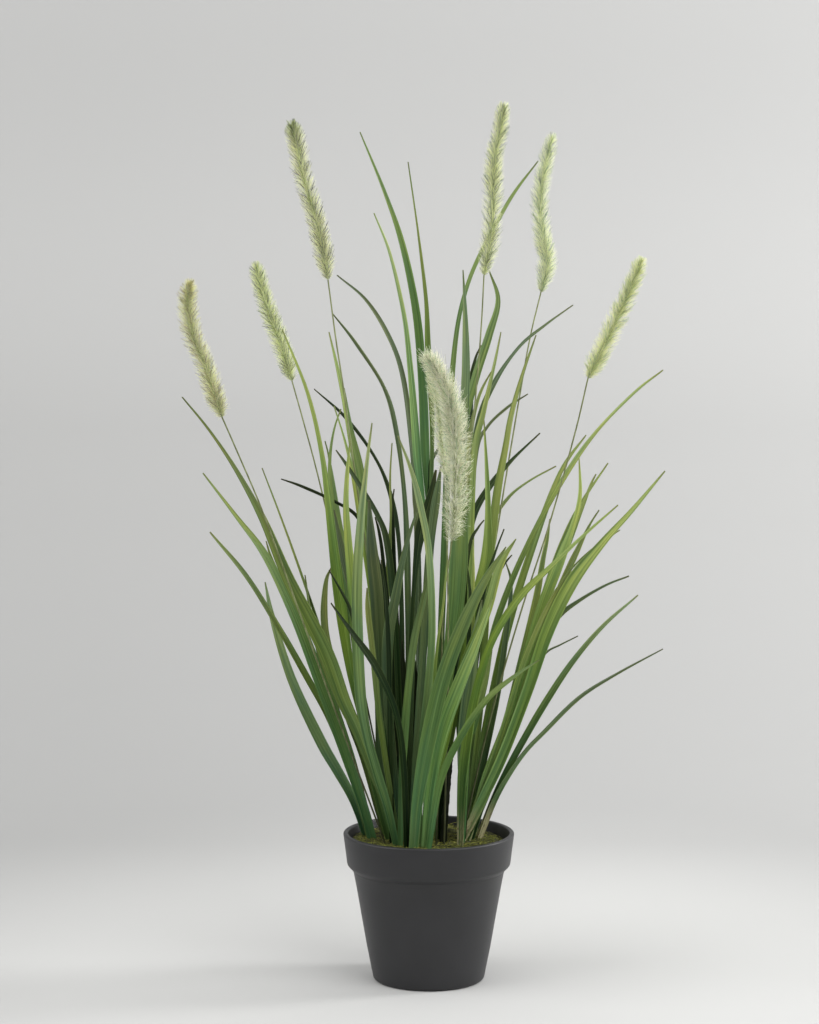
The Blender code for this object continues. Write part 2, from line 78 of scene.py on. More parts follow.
# Each leaf, tip first: finish, rank, turn at the foot and at the tip in degrees, then its route
# in the front view as (across, down, seen width) in pixels. The last point is the foot.
LEAVES = {
    "leaf_left_1": ("olive", -0.45, 20, 55, ((182, 397, 1), (210, 431, 2.5), (236, 470, 5),
        (263, 520, 8), (289, 580, 12), (325, 650, 16), (343, 700, 15), (357, 730, 11.5),
        (365, 750, 10), (376, 780, 9), (384, 800, 8), (391, 821, 7), (396, 843, 6))),
    "leaf_left_2": ("fresh", -0.18, -15, -45, ((203, 473, 1), (236, 516, 3.5), (266, 556, 7),
        (295, 615, 10), (320, 680, 12), (338, 728, 13), (349, 760, 12), (359, 793, 9),
        (366, 815, 9), (373, 839, 9))),
    "leaf_left_3": ("olive", 0.06, -40, -60, ((210, 532, 1), (247, 577, 4), (281, 631, 5),
        (308, 679, 5.5), (331, 722, 6), (354, 780, 6), (371, 837, 5))),
    "leaf_left_4": ("sea", 0.22, -20, 10, ((265, 582, 1), (273, 620, 6), (292, 680, 9),
        (320, 740, 11), (337, 770, 10), (350, 793, 8.5), (358, 812, 7.5), (367, 835, 6))),
    "leaf_left_5": ("olive", 0.34, 15, 40, ((262, 468, 1), (283, 523, 2), (304, 582, 2.5),
        (324, 642, 3), (344, 710, 3.5), (360, 752, 4.5), (371, 785, 6), (378, 810, 7), (387, 839, 6))),
    "leaf_mid_left_1": ("lime", 0.27, 15, 40, ((282, 329, 1), (308, 394, 3.5), (322, 455, 5),
        (330, 520, 8), (340, 600, 12), (350, 668, 9), (361, 712, 9), (369, 746, 7), (380, 777, 8),
        (387, 800, 6), (395, 838, 5))),
    "leaf_mid_left_2": ("fresh", 0.45, -25, -40, ((329, 332, 1), (343, 392, 4.5), (352, 448, 5),
        (364, 510, 6), (373, 590, 7), (380, 690, 7), (385, 770, 7), (389, 836, 6))),
    "leaf_mid_left_3": ("dark", 0.88, 50, 60, ((314, 389, 1), (345, 417, 2.8), (374, 456, 3.5),
        (390, 493, 4), (399, 545, 4.5), (402, 640, 5), (400, 740, 5), (398, 834, 5))),
    "leaf_mid_left_4": ("dusk", 0.66, 40, 55, ((332, 313, 1), (357, 345, 3), (384, 388, 4),
        (397, 435, 4.5), (405, 505, 5), (408, 600, 6), (408, 720, 6), (406, 835, 5))),
    "leaf_mid_left_5": ("dusk", 0.98, -35, -50, ((337, 275, 1), (366, 300, 3), (390, 338, 4.5),
        (404, 382, 5), (412, 445, 5.5), (417, 520, 6), (419, 640, 6), (414, 834, 5))),
    "leaf_top_1": ("mint", 0.36, -20, 15, ((374, 213, 1), (390, 254, 3), (404, 315, 4.5),
        (410, 365, 5.5), (415, 425, 8), (418, 465, 8), (424, 508, 3.5))),
    "leaf_top_2": ("green", 0.52, 18, -20, ((360, 132, 1), (384, 190, 3.5), (402, 243, 6),
        (416, 310, 8), (422, 375, 9), (425, 445, 9), (428, 507, 3.5))),
    "leaf_top_3": ("olive", 0.44, 40, 20, ((408, 162, 1), (418, 232, 2), (426, 300, 4),
        (428, 350, 6), (432, 420, 5), (431, 508, 3.5))),
    "leaf_high_1": ("sea", 0.6, -10, 10, ((463, 270, 1), (465, 310, 4.5), (466, 360, 8),
        (465, 400, 9), (465, 480, 9), (462, 600, 8), (451, 720, 7), (444, 785, 6), (441, 836, 6))),
    "leaf_high_2": ("green", 0.71, 25, 45, ((538, 161, 1), (510, 199, 3.5), (485, 245, 4),
        (468, 283, 4), (457, 330, 4.5), (450, 400, 6), (446, 500, 7), (441, 640, 7), (436, 835, 6))),
    "leaf_high_3": ("green", 0.92, -20, 20, ((489, 270, 1), (498, 300, 5), (489, 335, 8),
        (474, 383, 8.5), (461, 440, 9), (456, 540, 8), (457, 680, 7), (462, 770, 6), (463, 835, 6))),
    "leaf_mid_right_1": ("dusk", 0.66, 45, 58, ((573, 305, 1), (545, 325, 2), (519, 347, 3),
        (494, 383, 4.5), (477, 427, 5), (469, 500, 6), (468, 600, 6), (467, 720, 6), (466, 835, 5))),
    "leaf_mid_right_2": ("olive", 0.3, -30, -45, ((501, 332, 1), (494, 367, 3), (483, 413, 5.5),
        (475, 450, 6), (471, 530, 7), (470, 640, 7), (463, 740, 6), (461, 790, 6), (461, 838, 5))),
    "leaf_mid_right_3": ("olive", 0.19, 22, 40, ((536, 335, 1), (523, 373, 3), (511, 415, 5),
        (505, 450, 6), (496, 500, 8), (488, 575, 8), (483, 660, 7), (473, 750, 7), (461, 838, 6))),
    "leaf_mid_right_4": ("dark", 0.46, 40, 50, ((540, 433, 1), (511, 461, 3), (489, 487, 6),
        (472, 520, 7), (460, 580, 7), (452, 680, 7), (442, 838, 6))),
    "leaf_mid_right_5": ("lime", -0.24, -12, 5, ((484, 420, 1), (487, 475, 4), (488, 520, 6.5),
        (486, 560, 11), (476, 600, 10), (460, 680, 9), (449, 745, 8), (441, 800, 6), (437, 840, 6))),
    "leaf_right_1": ("olive", 0.04, 50, 60, ((663, 370, 1), (635, 392, 2), (595, 433, 3),
        (565, 476, 4), (530, 540, 5), (504, 600, 5), (487, 660, 5), (476, 750, 5), (464, 838, 5))),
    "leaf_right_2": ("olive", 0.54, 25, 45, ((586, 435, 1), (565, 464, 3.5), (548, 502, 5.5),
        (525, 570, 7), (507, 630, 8), (493, 690, 7), (480, 760, 7), (468, 836, 6))),
    "leaf_right_3": ("olive", 0.42, 18, 50, ((608, 463, 1), (581, 503, 3), (563, 540, 4),
        (545, 590, 5), (528, 650, 7), (511, 710, 8), (491, 770, 8), (471, 836, 6))),
    "leaf_right_4": ("pale", -0.12, -18, 20, ((579, 458, 1), (580, 495, 3.5), (573, 525, 5),
        (560, 560, 10), (543, 605, 11), (526, 660, 10), (508, 720, 9), (485, 780, 9), (467, 840, 6))),
    "leaf_right_5": ("lime", -0.9, 35, 50, ((618, 505, 1), (584, 535, 2.5), (550, 567, 4),
        (519, 598, 6), (491, 643, 7), (474, 700, 8), (464, 760, 9), (461, 800, 8), (460, 842, 6))),
    "leaf_right_6": ("pale", -0.42, 15, 45, ((665, 471, 1), (632, 510, 4), (604, 541, 6.5),
        (572, 582, 12), (547, 632, 12), (527, 692, 10), (503, 755, 10), (482, 800, 9),
        (470, 825, 8), (460, 845, 6))),
    "leaf_right_7": ("dusk", 0.24, 38, 55, ((638, 595, 1), (603, 626, 3.5), (571, 664, 5),
        (543, 706, 6), (521, 744, 6), (506, 773, 6), (492, 803, 5.5), (477, 838, 5))),
    "leaf_right_8": ("dusk", 0.1, -42, -58, ((663, 649, 1), (617, 674, 3), (579, 698, 4),
        (545, 731, 5), (526, 751, 5.5), (509, 775, 5.5), (494, 802, 5.5), (479, 837, 5))),
    "leaf_front_1": ("lime", -1.09, -20, 10, ((516, 539, 1), (500, 565, 7), (487, 610, 9),
        (467, 660, 10), (451, 710, 10), (444, 745, 9), (435, 785, 7), (429, 844, 5))),
    "leaf_front_2": ("green", -1.38, 18, -20, ((506, 547, 1), (484, 582, 8), (462, 627, 13),
        (441, 685, 15), (427, 745, 15), (417, 805, 11), (413, 847, 9))),
    "leaf_front_3": ("green", -1.2, -8, 15, ((492, 600, 1), (475, 645, 9), (456, 692, 13),
        (441, 735, 14), (431, 785, 11), (424, 846, 7))),
    "leaf_front_4": ("green", -1.5, 38, 50, ((539, 660, 1), (512, 678, 3), (486, 700, 5),
        (460, 738, 6.5), (440, 783, 6), (428, 846, 5))),
    "leaf_front_5": ("green", -0.51, 8, -15, ((459, 435, 2), (460, 500, 12), (459, 550, 18),
        (456, 600, 17), (450, 655, 13), (442, 715, 10), (432, 770, 8), (425, 842, 5))),
    "leaf_front_6": ("mint", -1.11, 14, 40, ((398, 436, 1), (411, 470, 3.5), (421, 508, 6),
        (429, 555, 6.5), (432, 630, 6.5), (428, 690, 8), (422, 745, 7), (418, 845, 5))),
    "leaf_front_7": ("sea", -0.54, -30, 5, ((418, 507, 1), (405, 550, 5), (395, 600, 9),
        (388, 640, 11), (388, 700, 9), (394, 770, 7), (402, 841, 6))),
    "leaf_front_8": ("mint", -0.84, -15, 25, ((372, 423, 1), (366, 470, 4), (360, 530, 8),
        (357, 600, 10), (360, 690, 11), (367, 735, 9), (378, 775, 9), (388, 808, 8), (397, 842, 6))),
    "leaf_front_9": ("dusk", -0.03, 20, -15, ((369, 500, 2), (372, 550, 11), (377, 600, 13),
        (379, 660, 11), (380, 720, 9.5), (380.5, 760, 9), (386, 790, 7), (392, 839, 5))),
    "leaf_front_10": ("dark", -1.29, -42, -55, ((331, 603, 1), (353, 634, 4), (377, 668, 6),
        (396, 713, 6), (404, 770, 6), (407, 846, 5))),
}

# Shorter and partly hidden leaves, given in the same way
SHORT_LEAVES = {
    "short_leaf_left_1": ("olive", 0.33, 30, 50, ((305, 575, 1), (309, 605, 2.5), (318, 650, 4),
        (335, 705, 6), (354, 765, 6), (374, 836, 5))),
    "short_leaf_left_2": ("olive", 0.13, 20, -30, ((331, 568, 1), (326, 582, 4), (324, 612, 7),
        (327, 640, 7), (338, 680, 7), (352, 715, 6), (364, 745, 5), (376, 778, 5), (390, 838, 5))),
    "short_leaf_left_3": ("olive", 0.16, -20, 30, ((266, 541, 1), (271, 557, 2.5), (285, 590, 4),
        (306, 640, 5), (333, 710, 6), (370, 837, 5))),
    "short_leaf_mid_left_1": ("green", 0.6, 40, 20, ((325, 441, 1), (329, 458, 2), (336, 500, 4),
        (352, 600, 6), (360, 680, 6), (364, 728, 6), (378, 780, 5), (388, 836, 4))),
    "short_leaf_mid_left_2": ("green", 0.35, -30, -50, ((341, 409, 1), (334, 430, 1.8),
        (330, 458, 2.8), (331, 490, 4), (338, 540, 5), (353, 630, 6), (361, 700, 6), (367, 738, 6),
        (381, 785, 5), (391, 838, 4))),
    "short_leaf_mid_left_3": ("lime", 0.2, 25, 45, ((334, 406, 1), (344, 438, 2), (353, 475, 4),
        (362, 530, 6), (374, 620, 5), (378, 690, 6), (385, 760, 5), (397, 837, 4))),
    "short_leaf_mid_left_4": ("green", 0.31, -20, 20, ((344, 388, 1), (351, 428, 4), (361, 470, 6),
        (366, 520, 7), (374, 600, 7), (386, 720, 6), (400, 838, 5))),
    "short_leaf_mid_left_5": ("dark", 0.02, -35, -50, ((336, 450, 1), (350, 470, 3), (377, 514, 5),
        (388, 548, 6), (395, 620, 6), (400, 720, 6), (408, 838, 5))),
    "short_leaf_mid_left_6": ("dark", 0.38, 35, 50, ((281, 479, 1), (303, 487, 2.8), (334, 501, 3),
        (358, 518, 4), (376, 556, 5), (388, 620, 6), (398, 720, 6), (404, 838, 5))),
    "short_leaf_mid_left_7": ("dusk", 0.08, -15, 15, ((334, 510, 1), (343, 555, 7), (352, 595, 7),
        (359, 650, 7), (362, 705, 6), (369, 742, 6), (380, 785, 5), (389, 838, 4))),
    "short_leaf_mid_left_8": ("lime", -0.3, -15, 15, ((350, 440, 1), (347, 475, 4), (346, 505, 5.5),
        (348, 540, 7.5), (351, 575, 9), (356, 640, 9), (362, 720, 8), (376, 790, 7), (390, 840, 6))),
    "short_leaf_mid_left_9": ("dark", -0.66, 30, 10, ((381, 560, 1), (386, 600, 3), (389, 660, 5),
        (390, 740, 5), (392, 838, 5))),
    "short_leaf_mid_left_10": ("olive", -0.72, -30, 20, ((367, 588, 1), (368, 612, 5),
        (373, 655, 6), (380, 720, 6), (390, 790, 5), (400, 843, 5))),
    "short_leaf_mid_left_11": ("dark", -0.36, 40, 50, ((329, 570, 1), (342, 593, 2.6),
        (352, 616, 3.5), (360, 660, 5), (364, 710, 5), (369, 745, 4), (384, 790, 5), (394, 838, 4))),
    "short_leaf_mid_left_12": ("olive", 0.5, 30, 40, ((392, 443, 1), (390, 480, 1.8), (391, 520, 3),
        (389, 555, 4.5), (386, 620, 6), (388, 720, 6), (395, 838, 5))),
    "short_leaf_mid_left_13": ("dark", 0.14, 35, 45, ((375, 517, 1), (379, 532, 2.5), (383, 560, 4),
        (390, 640, 5), (396, 740, 5), (402, 838, 5))),
    "short_leaf_centre_1": ("dark", 0.49, 20, 40, ((443, 441, 1), (437, 451, 2.5), (431, 462, 4),
        (430, 480, 4), (428, 506, 3))),
    "short_leaf_centre_2": ("dark", 1.0, -20, 20, ((481, 345, 1), (475, 360, 3), (471, 385, 6),
        (469, 430, 7), (466, 520, 7), (464, 640, 7), (463, 740, 6), (463, 836, 4))),
    "short_leaf_centre_3": ("sea", -0.3, -25, 10, ((441, 466, 1), (436, 500, 8), (432, 530, 8),
        (429, 560, 8), (424, 640, 8), (417, 740, 7), (411, 838, 6))),
    "short_leaf_centre_4": ("dark", -0.2, 10, -10, ((436, 470, 2), (430, 500, 9), (422, 528, 13),
        (418, 548, 8), (413, 600, 4), (408, 700, 4), (404, 838, 4))),
    "short_leaf_centre_5": ("dusk", 0.1, 30, 40, ((412, 475, 1), (414, 500, 3), (416, 520, 4),
        (416, 580, 5), (412, 680, 5), (408, 838, 4))),
    "short_leaf_centre_6": ("dark", 0.24, 30, 50, ((394, 489, 1), (393, 505, 1.5), (394, 560, 4),
        (398, 660, 5), (403, 838, 4))),
    "short_leaf_centre_7": ("green", -0.88, 25, 10, ((429, 573, 1), (427, 585, 5), (421, 610, 6),
        (414, 640, 7), (409, 680, 7), (405, 730, 8), (402, 780, 7), (400, 843, 5))),
    # short_leaf_centre_8 to 10 are painted shade: dark blades that fill the shadowed gap in the middle
    # of the clump
    "short_leaf_centre_8": ("dark", 0.3, -10, 10, ((392, 600, 1), (394, 650, 8), (393, 720, 9),
        (394, 790, 8), (397, 838, 6))),
    "short_leaf_centre_9": ("dark", 0.56, 15, -10, ((402, 640, 1), (404, 690, 8), (404, 760, 9),
        (404, 838, 7))),
    "short_leaf_centre_10": ("dark", 0.18, -20, 10, ((412, 640, 1), (416, 700, 8), (414, 770, 8),
        (410, 838, 6))),
    "short_leaf_mid_right_1": ("olive", 0.5, 35, 50, ((491, 372, 1), (481, 391, 2.5),
        (475, 410, 3.5), (470, 440, 5), (467, 500, 6), (465, 620, 6), (464, 740, 6), (464, 837, 4))),
    "short_leaf_mid_right_2": ("dusk", 0.76, -35, -55, ((528, 394, 1), (508, 407, 2.5),
        (488, 426, 3.2), (476, 452, 5), (470, 520, 6), (467, 640, 6), (465, 740, 6), (465, 837, 4))),
    "short_leaf_mid_right_3": ("olive", 0.88, 40, 55, ((556, 466, 1), (529, 481, 1.8),
        (508, 498, 2.5), (492, 525, 4), (481, 580, 6), (473, 680, 6), (462, 837, 5))),
    "short_leaf_mid_right_4": ("dark", -0.3, 30, 50, ((504, 529, 1), (495, 553, 2), (485, 585, 4),
        (475, 640, 5), (468, 720, 6), (463, 838, 4))),
    "short_leaf_mid_right_5": ("dark", -0.46, -30, -50, ((512, 555, 1), (503, 566, 2.5),
        (490, 590, 4), (479, 640, 5), (470, 720, 6), (464, 838, 4))),
    "short_leaf_mid_right_6": ("dusk", 0.4, 30, 20, ((506, 563, 1), (511, 583, 3), (508, 620, 5),
        (498, 690, 6), (482, 770, 6), (470, 838, 5))),
    "short_leaf_mid_right_7": ("lime", -0.36, 25, 15, ((473, 540, 1), (473, 580, 3.5),
        (471, 640, 5), (466, 720, 6), (462, 838, 4))),
    "short_leaf_mid_right_8": ("dark", -0.28, -25, 30, ((484, 520, 1), (478, 528, 2),
        (470, 545, 3.5), (462, 600, 5), (451, 700, 6), (443, 785, 5), (440, 838, 4))),
    "short_leaf_mid_right_9": ("dark", -0.44, 25, 20, ((465, 555, 1), (469, 582, 2.5),
        (470, 610, 3.5), (466, 700, 5), (462, 838, 4))),
    "short_leaf_right_1": ("olive", 0.62, 30, 45, ((596, 474, 1), (591, 484, 2), (583, 505, 3.5),
        (568, 545, 5), (545, 600, 6), (520, 680, 7), (495, 760, 7), (468, 838, 5))),
    "short_leaf_right_2": ("olive", -0.2, 20, 45, ((599, 510, 1), (589, 526, 2), (577, 551, 4.5),
        (569, 568, 6), (556, 600, 8), (538, 650, 9), (517, 715, 9), (489, 785, 8), (464, 842, 6))),
    "short_leaf_right_3": ("lime", 0.3, -25, -45, ((620, 530, 1), (610, 537, 2.5), (592, 556, 4),
        (570, 585, 6), (548, 630, 8), (524, 700, 8), (497, 770, 7), (469, 838, 5))),
    "short_leaf_right_4": ("olive", -0.34, -30, -50, ((592, 549, 1), (580, 560, 1.5),
        (565, 577, 2.5), (546, 610, 5), (523, 665, 6), (501, 735, 6), (478, 800, 6), (463, 838, 5))),
    "short_leaf_right_5": ("olive", 0.16, 20, -20, ((550, 519, 1), (547, 540, 3.5), (543, 560, 5),
        (536, 600, 7), (522, 660, 8), (503, 735, 8), (480, 800, 7), (464, 838, 6))),
    "short_leaf_right_6": ("dusk", 0.0, 40, 55, ((629, 576, 1), (606, 585, 2), (580, 600, 3),
        (558, 617, 4), (540, 645, 5), (517, 700, 6), (493, 770, 6), (470, 838, 5))),
    "short_leaf_right_7": ("dusk", 0.2, -35, -50, ((578, 636, 1), (560, 645, 1.5), (546, 653, 2.2),
        (529, 675, 4), (508, 725, 5), (487, 785, 5), (471, 838, 4))),
    "short_leaf_front_1": ("sea", -0.6, 15, -15, ((482, 600, 1), (475, 640, 9), (470, 680, 12),
        (464, 725, 11), (462, 755, 9), (463, 780, 9), (463.5, 786, 6), (463.5, 790, 2),
        (462, 810, 1.6), (461, 838, 1.6))),
    "short_leaf_front_2": ("green", -0.48, -20, 10, ((492, 650, 1), (486, 680, 5), (478, 708, 8),
        (473, 726, 8), (472, 733, 5), (471.5, 737, 2), (469, 760, 1.6), (464, 838, 1.6))),
    "short_leaf_front_3": ("lime", -0.98, 20, 30, ((447, 560, 1), (443, 605, 2), (438, 640, 2.4),
        (435, 672, 2.8), (430, 740, 4), (422, 840, 4))),
    "short_leaf_front_4": ("lime", -0.5, 30, 40, ((386, 700, 1), (391, 760, 2), (397, 800, 2.5),
        (402, 841, 3))),
    "short_leaf_front_5": ("green", 0.62, -10, 10, ((478, 640, 1), (472, 700, 8), (466, 755, 9),
        (463, 800, 8), (460, 838, 6))),
}

# Leaves of the tall tuft spring from the tall stem's head and not from the moss
TUFT_LEAVES = ("leaf_top_1", "leaf_top_2", "leaf_top_3", "short_leaf_centre_1")

# Each plume and its stem, top first: rank, girth against the usual one, the plume's core and the
# stem's route in the front view
PLUMES = {
    "left_outer": (-0.63, 1.0, ((190, 280), (188, 305), (193, 335), (205, 365), (215, 395), (222, 417)),
        ((240, 458), (262, 510), (295, 600), (335, 710), (386, 842))),
    "left_inner": (0.62, 1.0, ((255, 262), (262, 290), (272, 320), (284, 353), (292, 381)),
        ((303, 420), (318, 476), (340, 570), (366, 700), (394, 836))),
    "left_high": (0.16, 1.0, ((291, 121), (297, 145), (304, 178), (316, 220), (323, 250), (328, 280)),
        ((336, 340), (344, 392), (356, 480), (377, 620), (410, 838))),
    "centre_high": (0.24, 1.0, ((504, 103), (500, 130), (494, 160), (493, 190), (491, 235), (484, 275)),
        ((481, 330), (475, 403), (462, 520), (450, 680), (439, 838))),
    "right_high": (0.80, 1.0, ((553, 132), (545, 168), (540, 200), (543, 238), (547, 262), (541, 292)),
        ((530, 338), (519, 400), (499, 520), (474, 680), (458, 834))),
    "right_outer": (-0.33, 1.0, ((643, 257), (631, 287), (617, 318), (600, 354), (588, 378)),
        ((575, 433), (550, 522), (520, 615), (490, 720), (461, 840))),
    "front_low": (-0.96, 1.35,
        ((427, 357), (436, 370), (446, 390), (453, 415), (456, 445), (456, 490), (452, 541)),
        ((447, 575), (443, 610), (441, 690), (439, 765), (436, 843))),
    "front_behind": (-0.75, 0.75, ((431, 366), (435, 388), (439, 415), (442, 445), (445, 475)),
        ((447, 540), (448, 600), (448, 690), (446, 770), (444, 842))),
}

# Each plume's haze colour, bristle colour and how tangled its bristles are, from 0 to 1
PLUME_LOOKS = {
    "left_outer": ((0.92, 0.94, 0.48), (0.27, 0.24, 0.085), 0.50, 0.10, (0.90, 0.86, 0.70)),
    "left_inner": ((0.88, 0.95, 0.44), (0.090, 0.14, 0.038), 0.30, 0.20, (1.0, 1.0, 1.0)),
    "left_high": ((0.90, 0.93, 0.48), (0.042, 0.054, 0.017), 0.08, 0.05, (0.38, 0.46, 0.18)),
    "centre_high": ((0.92, 0.97, 0.50), (0.100, 0.150, 0.052), 0.14, 0.30, (1.0, 1.0, 1.0)),
    "right_high": ((0.92, 0.99, 0.56), (0.180, 0.260, 0.115), 0.20, 0.20, (1.0, 1.0, 1.0)),
    "right_outer": ((0.96, 1.00, 0.48), (0.32, 0.42, 0.140), 0.35, 0.28, (1.0, 1.0, 1.0)),
    "front_low": ((1.00, 1.00, 0.74), (0.44, 0.52, 0.26), 1.0, 0.45, (1.0, 1.0, 1.0)),
    "front_behind": ((0.98, 1.00, 0.68), (0.60, 0.70, 0.40), 0.9, 0.10, (1.0, 1.0, 1.0)),
}

# The tall tuft's stem and the short main stem, top first: rank, radius and route
THICK_STEMS = {
    "tall_stem": (0.44, 0.0026, ((427, 512), (429, 600), (430, 720), (427, 837))),
    "main_stem": (-0.45, 0.0034, ((452, 748), (449, 775), (446, 805), (443, 842))),
}

# Finishes of the leaves: colour at the foot, in the middle and at the tip. The darker feet are
# partly the leaves' own colour and partly painted shade at the crowded base of the clump; the
# dusk and dark finishes are partly darker leaves and partly painted shade for blades deep inside it
LEAF_FINISHES = {
    "lime": ((0.072, 0.156, 0.046), (0.145, 0.246, 0.046), (0.320, 0.410, 0.140)),
    "mint": ((0.068, 0.152, 0.058), (0.136, 0.232, 0.092), (0.320, 0.400, 0.200)),
    "pale": ((0.132, 0.236, 0.088), (0.130, 0.222, 0.060), (0.330, 0.396, 0.135)),
    "fresh": ((0.068, 0.168, 0.066), (0.084, 0.174, 0.054), (0.240, 0.305, 0.105)),
    "olive": ((0.104, 0.172, 0.054), (0.112, 0.178, 0.044), (0.220, 0.270, 0.100)),
    "green": ((0.078, 0.178, 0.066), (0.090, 0.180, 0.054), (0.190, 0.268, 0.102)),
    "sea": ((0.050, 0.126, 0.060), (0.104, 0.172, 0.082), (0.170, 0.240, 0.124)),
    "dusk": ((0.026, 0.064, 0.022), (0.060, 0.100, 0.042), (0.104, 0.136, 0.078)),
    "dark": ((0.007, 0.020, 0.006), (0.017, 0.040, 0.013), (0.038, 0.058, 0.030)),
}

# Leaves lighter or darker than their finish: partly their own tone, partly painted light on
# leaves that the lamps leave too dark and painted shade on blades deep in the clump.
# And how straw-coloured some feet are
LEAF_TONE_AND_PAINTED_LIGHT = {
    "leaf_left_1": 1.05, "leaf_left_3": 1.1, "leaf_left_4": 1.35, "leaf_mid_left_2": 1.1,
    "leaf_mid_left_3": 0.9, "leaf_mid_left_4": 1.25, "leaf_mid_left_5": 0.9, "leaf_top_1": 1.25,
    "leaf_mid_right_1": 1.25, "leaf_mid_right_2": 1.1, "leaf_right_1": 1.2, "leaf_right_2": 1.3,
    "leaf_right_3": 1.25, "leaf_right_4": 1.4, "leaf_right_6": 1.1, "leaf_right_7": 2.4,
    "leaf_right_8": 1.15, "leaf_front_1": 0.95, "leaf_front_3": 1.5, "leaf_front_6": 1.1,
    "leaf_front_7": 0.8, "leaf_front_10": 0.7, "short_leaf_mid_left_9": 0.7,
    "short_leaf_mid_left_13": 0.5, "short_leaf_mid_left_6": 0.6, "short_leaf_centre_3": 0.8,
    "short_leaf_centre_6": 0.5, "short_leaf_centre_7": 0.8, "short_leaf_centre_8": 0.4,
    "short_leaf_centre_9": 0.6, "short_leaf_centre_10": 0.4, "short_leaf_front_4": 0.6,
    "short_leaf_right_1": 1.3, "short_leaf_right_5": 1.2, "short_leaf_right_6": 1.1,
    "short_leaf_mid_right_6": 1.6, "short_leaf_mid_right_9": 1.3,
}
STRAW_FEET = {
    "leaf_right_6": 1.0, "leaf_right_5": 0.8, "leaf_right_4": 0.9, "leaf_right_8": 0.9,
    "leaf_right_7": 0.7, "leaf_front_2": 0.08, "leaf_front_3": 0.08,
}

SEED = 7


class PotSettings(bpy.types.PropertyGroup):
    plastic: bpy.props.FloatVectorProperty(
        name="Plastic", description="Colour of the pot's plastic",
        default=(0.0156, 0.0157, 0.0172), subtype="COLOR", min=0.0, max=1.0)
    lip_width: bpy.props.FloatProperty(
        name="Lip width", description="Thickness of the rim's lip",
        default=0.0045, unit="LENGTH", min=0.001, max=0.02)
    band_height: bpy.props.FloatProperty(
        name="Band height", description="Height of the rim's band",
        default=0.028, unit="LENGTH", min=0.005, max=0.08)
    band_taper: bpy.props.FloatProperty(
        name="Band taper", description="How far the band narrows towards its lower edge",
        default=0.0032, unit="LENGTH", min=0.0, max=0.02)
    step_width: bpy.props.FloatProperty(
        name="Step width", description="How far the body stands back under the band",
        default=0.0058, unit="LENGTH", min=0.0, max=0.02)
    step_height: bpy.props.FloatProperty(
        name="Step height", description="Height of the slope under the band",
        default=0.006, unit="LENGTH", min=0.001, max=0.02)
    foot_radius: bpy.props.FloatProperty(
        name="Foot radius", description="Radius of the pot's foot",
        default=0.051, unit="LENGTH", min=0.02, max=0.1)
    wall: bpy.props.FloatProperty(
        name="Wall", description="Thickness of the pot's wall",
        default=0.0026, unit="LENGTH", min=0.001, max=0.01)


class LeafSettings(bpy.types.PropertyGroup):
    thickness: bpy.props.FloatProperty(
        name="Thickness", description="Thickness of a leaf's blade",
        default=0.00045, unit="LENGTH", min=0.0001, max=0.002)
    fold: bpy.props.FloatProperty(
        name="Fold", description="Depth of the fold along the midrib, as a share of half the width",
        default=0.34, subtype="FACTOR", min=0.0, max=1.0)
    ruffle: bpy.props.FloatProperty(
        name="Ruffle", description="Height of the waves along a leaf's edges",
        default=0.0004, unit="LENGTH", min=0.0, max=0.005)
    gloss: bpy.props.FloatProperty(
        name="Gloss", description="Strength of the leaves' highlights",
        default=0.16, subtype="FACTOR", min=0.0, max=1.0)


class PlumeSettings(bpy.types.PropertyGroup):
    radius: bpy.props.FloatProperty(
        name="Radius", description="How far the bristles reach from a plume's core",
        default=0.0112, unit="LENGTH", min=0.002, max=0.05)
    fine_count: bpy.props.IntProperty(
        name="Fine bristles", description="Fine pale bristles for each centimetre of core",
        default=260, min=10, max=1000)
    coarse_count: bpy.props.IntProperty(
        name="Coarse bristles", description="Coarse dark-tipped bristles for each centimetre of core",
        default=32, min=5, max=400)
    fine_width: bpy.props.FloatProperty(
        name="Fine width", description="Radius of a fine bristle",
        default=0.00008, unit="LENGTH", precision=5, min=0.00002, max=0.001)
    coarse_width: bpy.props.FloatProperty(
        name="Coarse width", description="Radius of a coarse bristle",
        default=0.00022, unit="LENGTH", precision=5, min=0.00005, max=0.002)


class MossSettings(bpy.types.PropertyGroup):
    moss: bpy.props.FloatVectorProperty(
        name="Moss", description="Colour of the moss",
        default=(0.360, 0.370, 0.072), subtype="COLOR", min=0.0, max=1.0)
    strands: bpy.props.IntProperty(
        name="Strands", description="Number of moss strands",
        default=7000, min=100, max=12000)


class StageSettings(bpy.types.PropertyGroup):
    backdrop: bpy.props.FloatVectorProperty(
        name="Backdrop", description="Colour of the backdrop",
        default=(0.545, 0.545, 0.538), subtype="COLOR", min=0.0, max=1.0)
    # The floor colour is laid as a lighter round pool about the pot: painted light in place of the pot's
    # shadow
    floor: bpy.props.FloatVectorProperty(
        name="Floor", description="Colour of the floor under the pot",
        default=(0.585, 0.585, 0.575), subtype="COLOR", min=0.0, max=1.0)
    key_power: bpy.props.FloatProperty(
        name="Key power", description="Power of the main soft light on the right, in watts",
        default=40.0, min=0.0, max=1000.0)
    side_power: bpy.props.FloatProperty(
        name="Side power", description="Power of the narrow light beside the plant, in watts",
        default=32.0, min=0.0, max=1000.0)
    fill_power: bpy.props.FloatProperty(
        name="Fill power", description="Power of the fill light on the left, in watts",
        default=34.0, min=0.0, max=1000.0)
    top_power: bpy.props.FloatProperty(
        name="Top power", description="Power of the wide light overhead, in watts",
        default=30.0, min=0.0, max=1000.0)


# Shared shape helpers

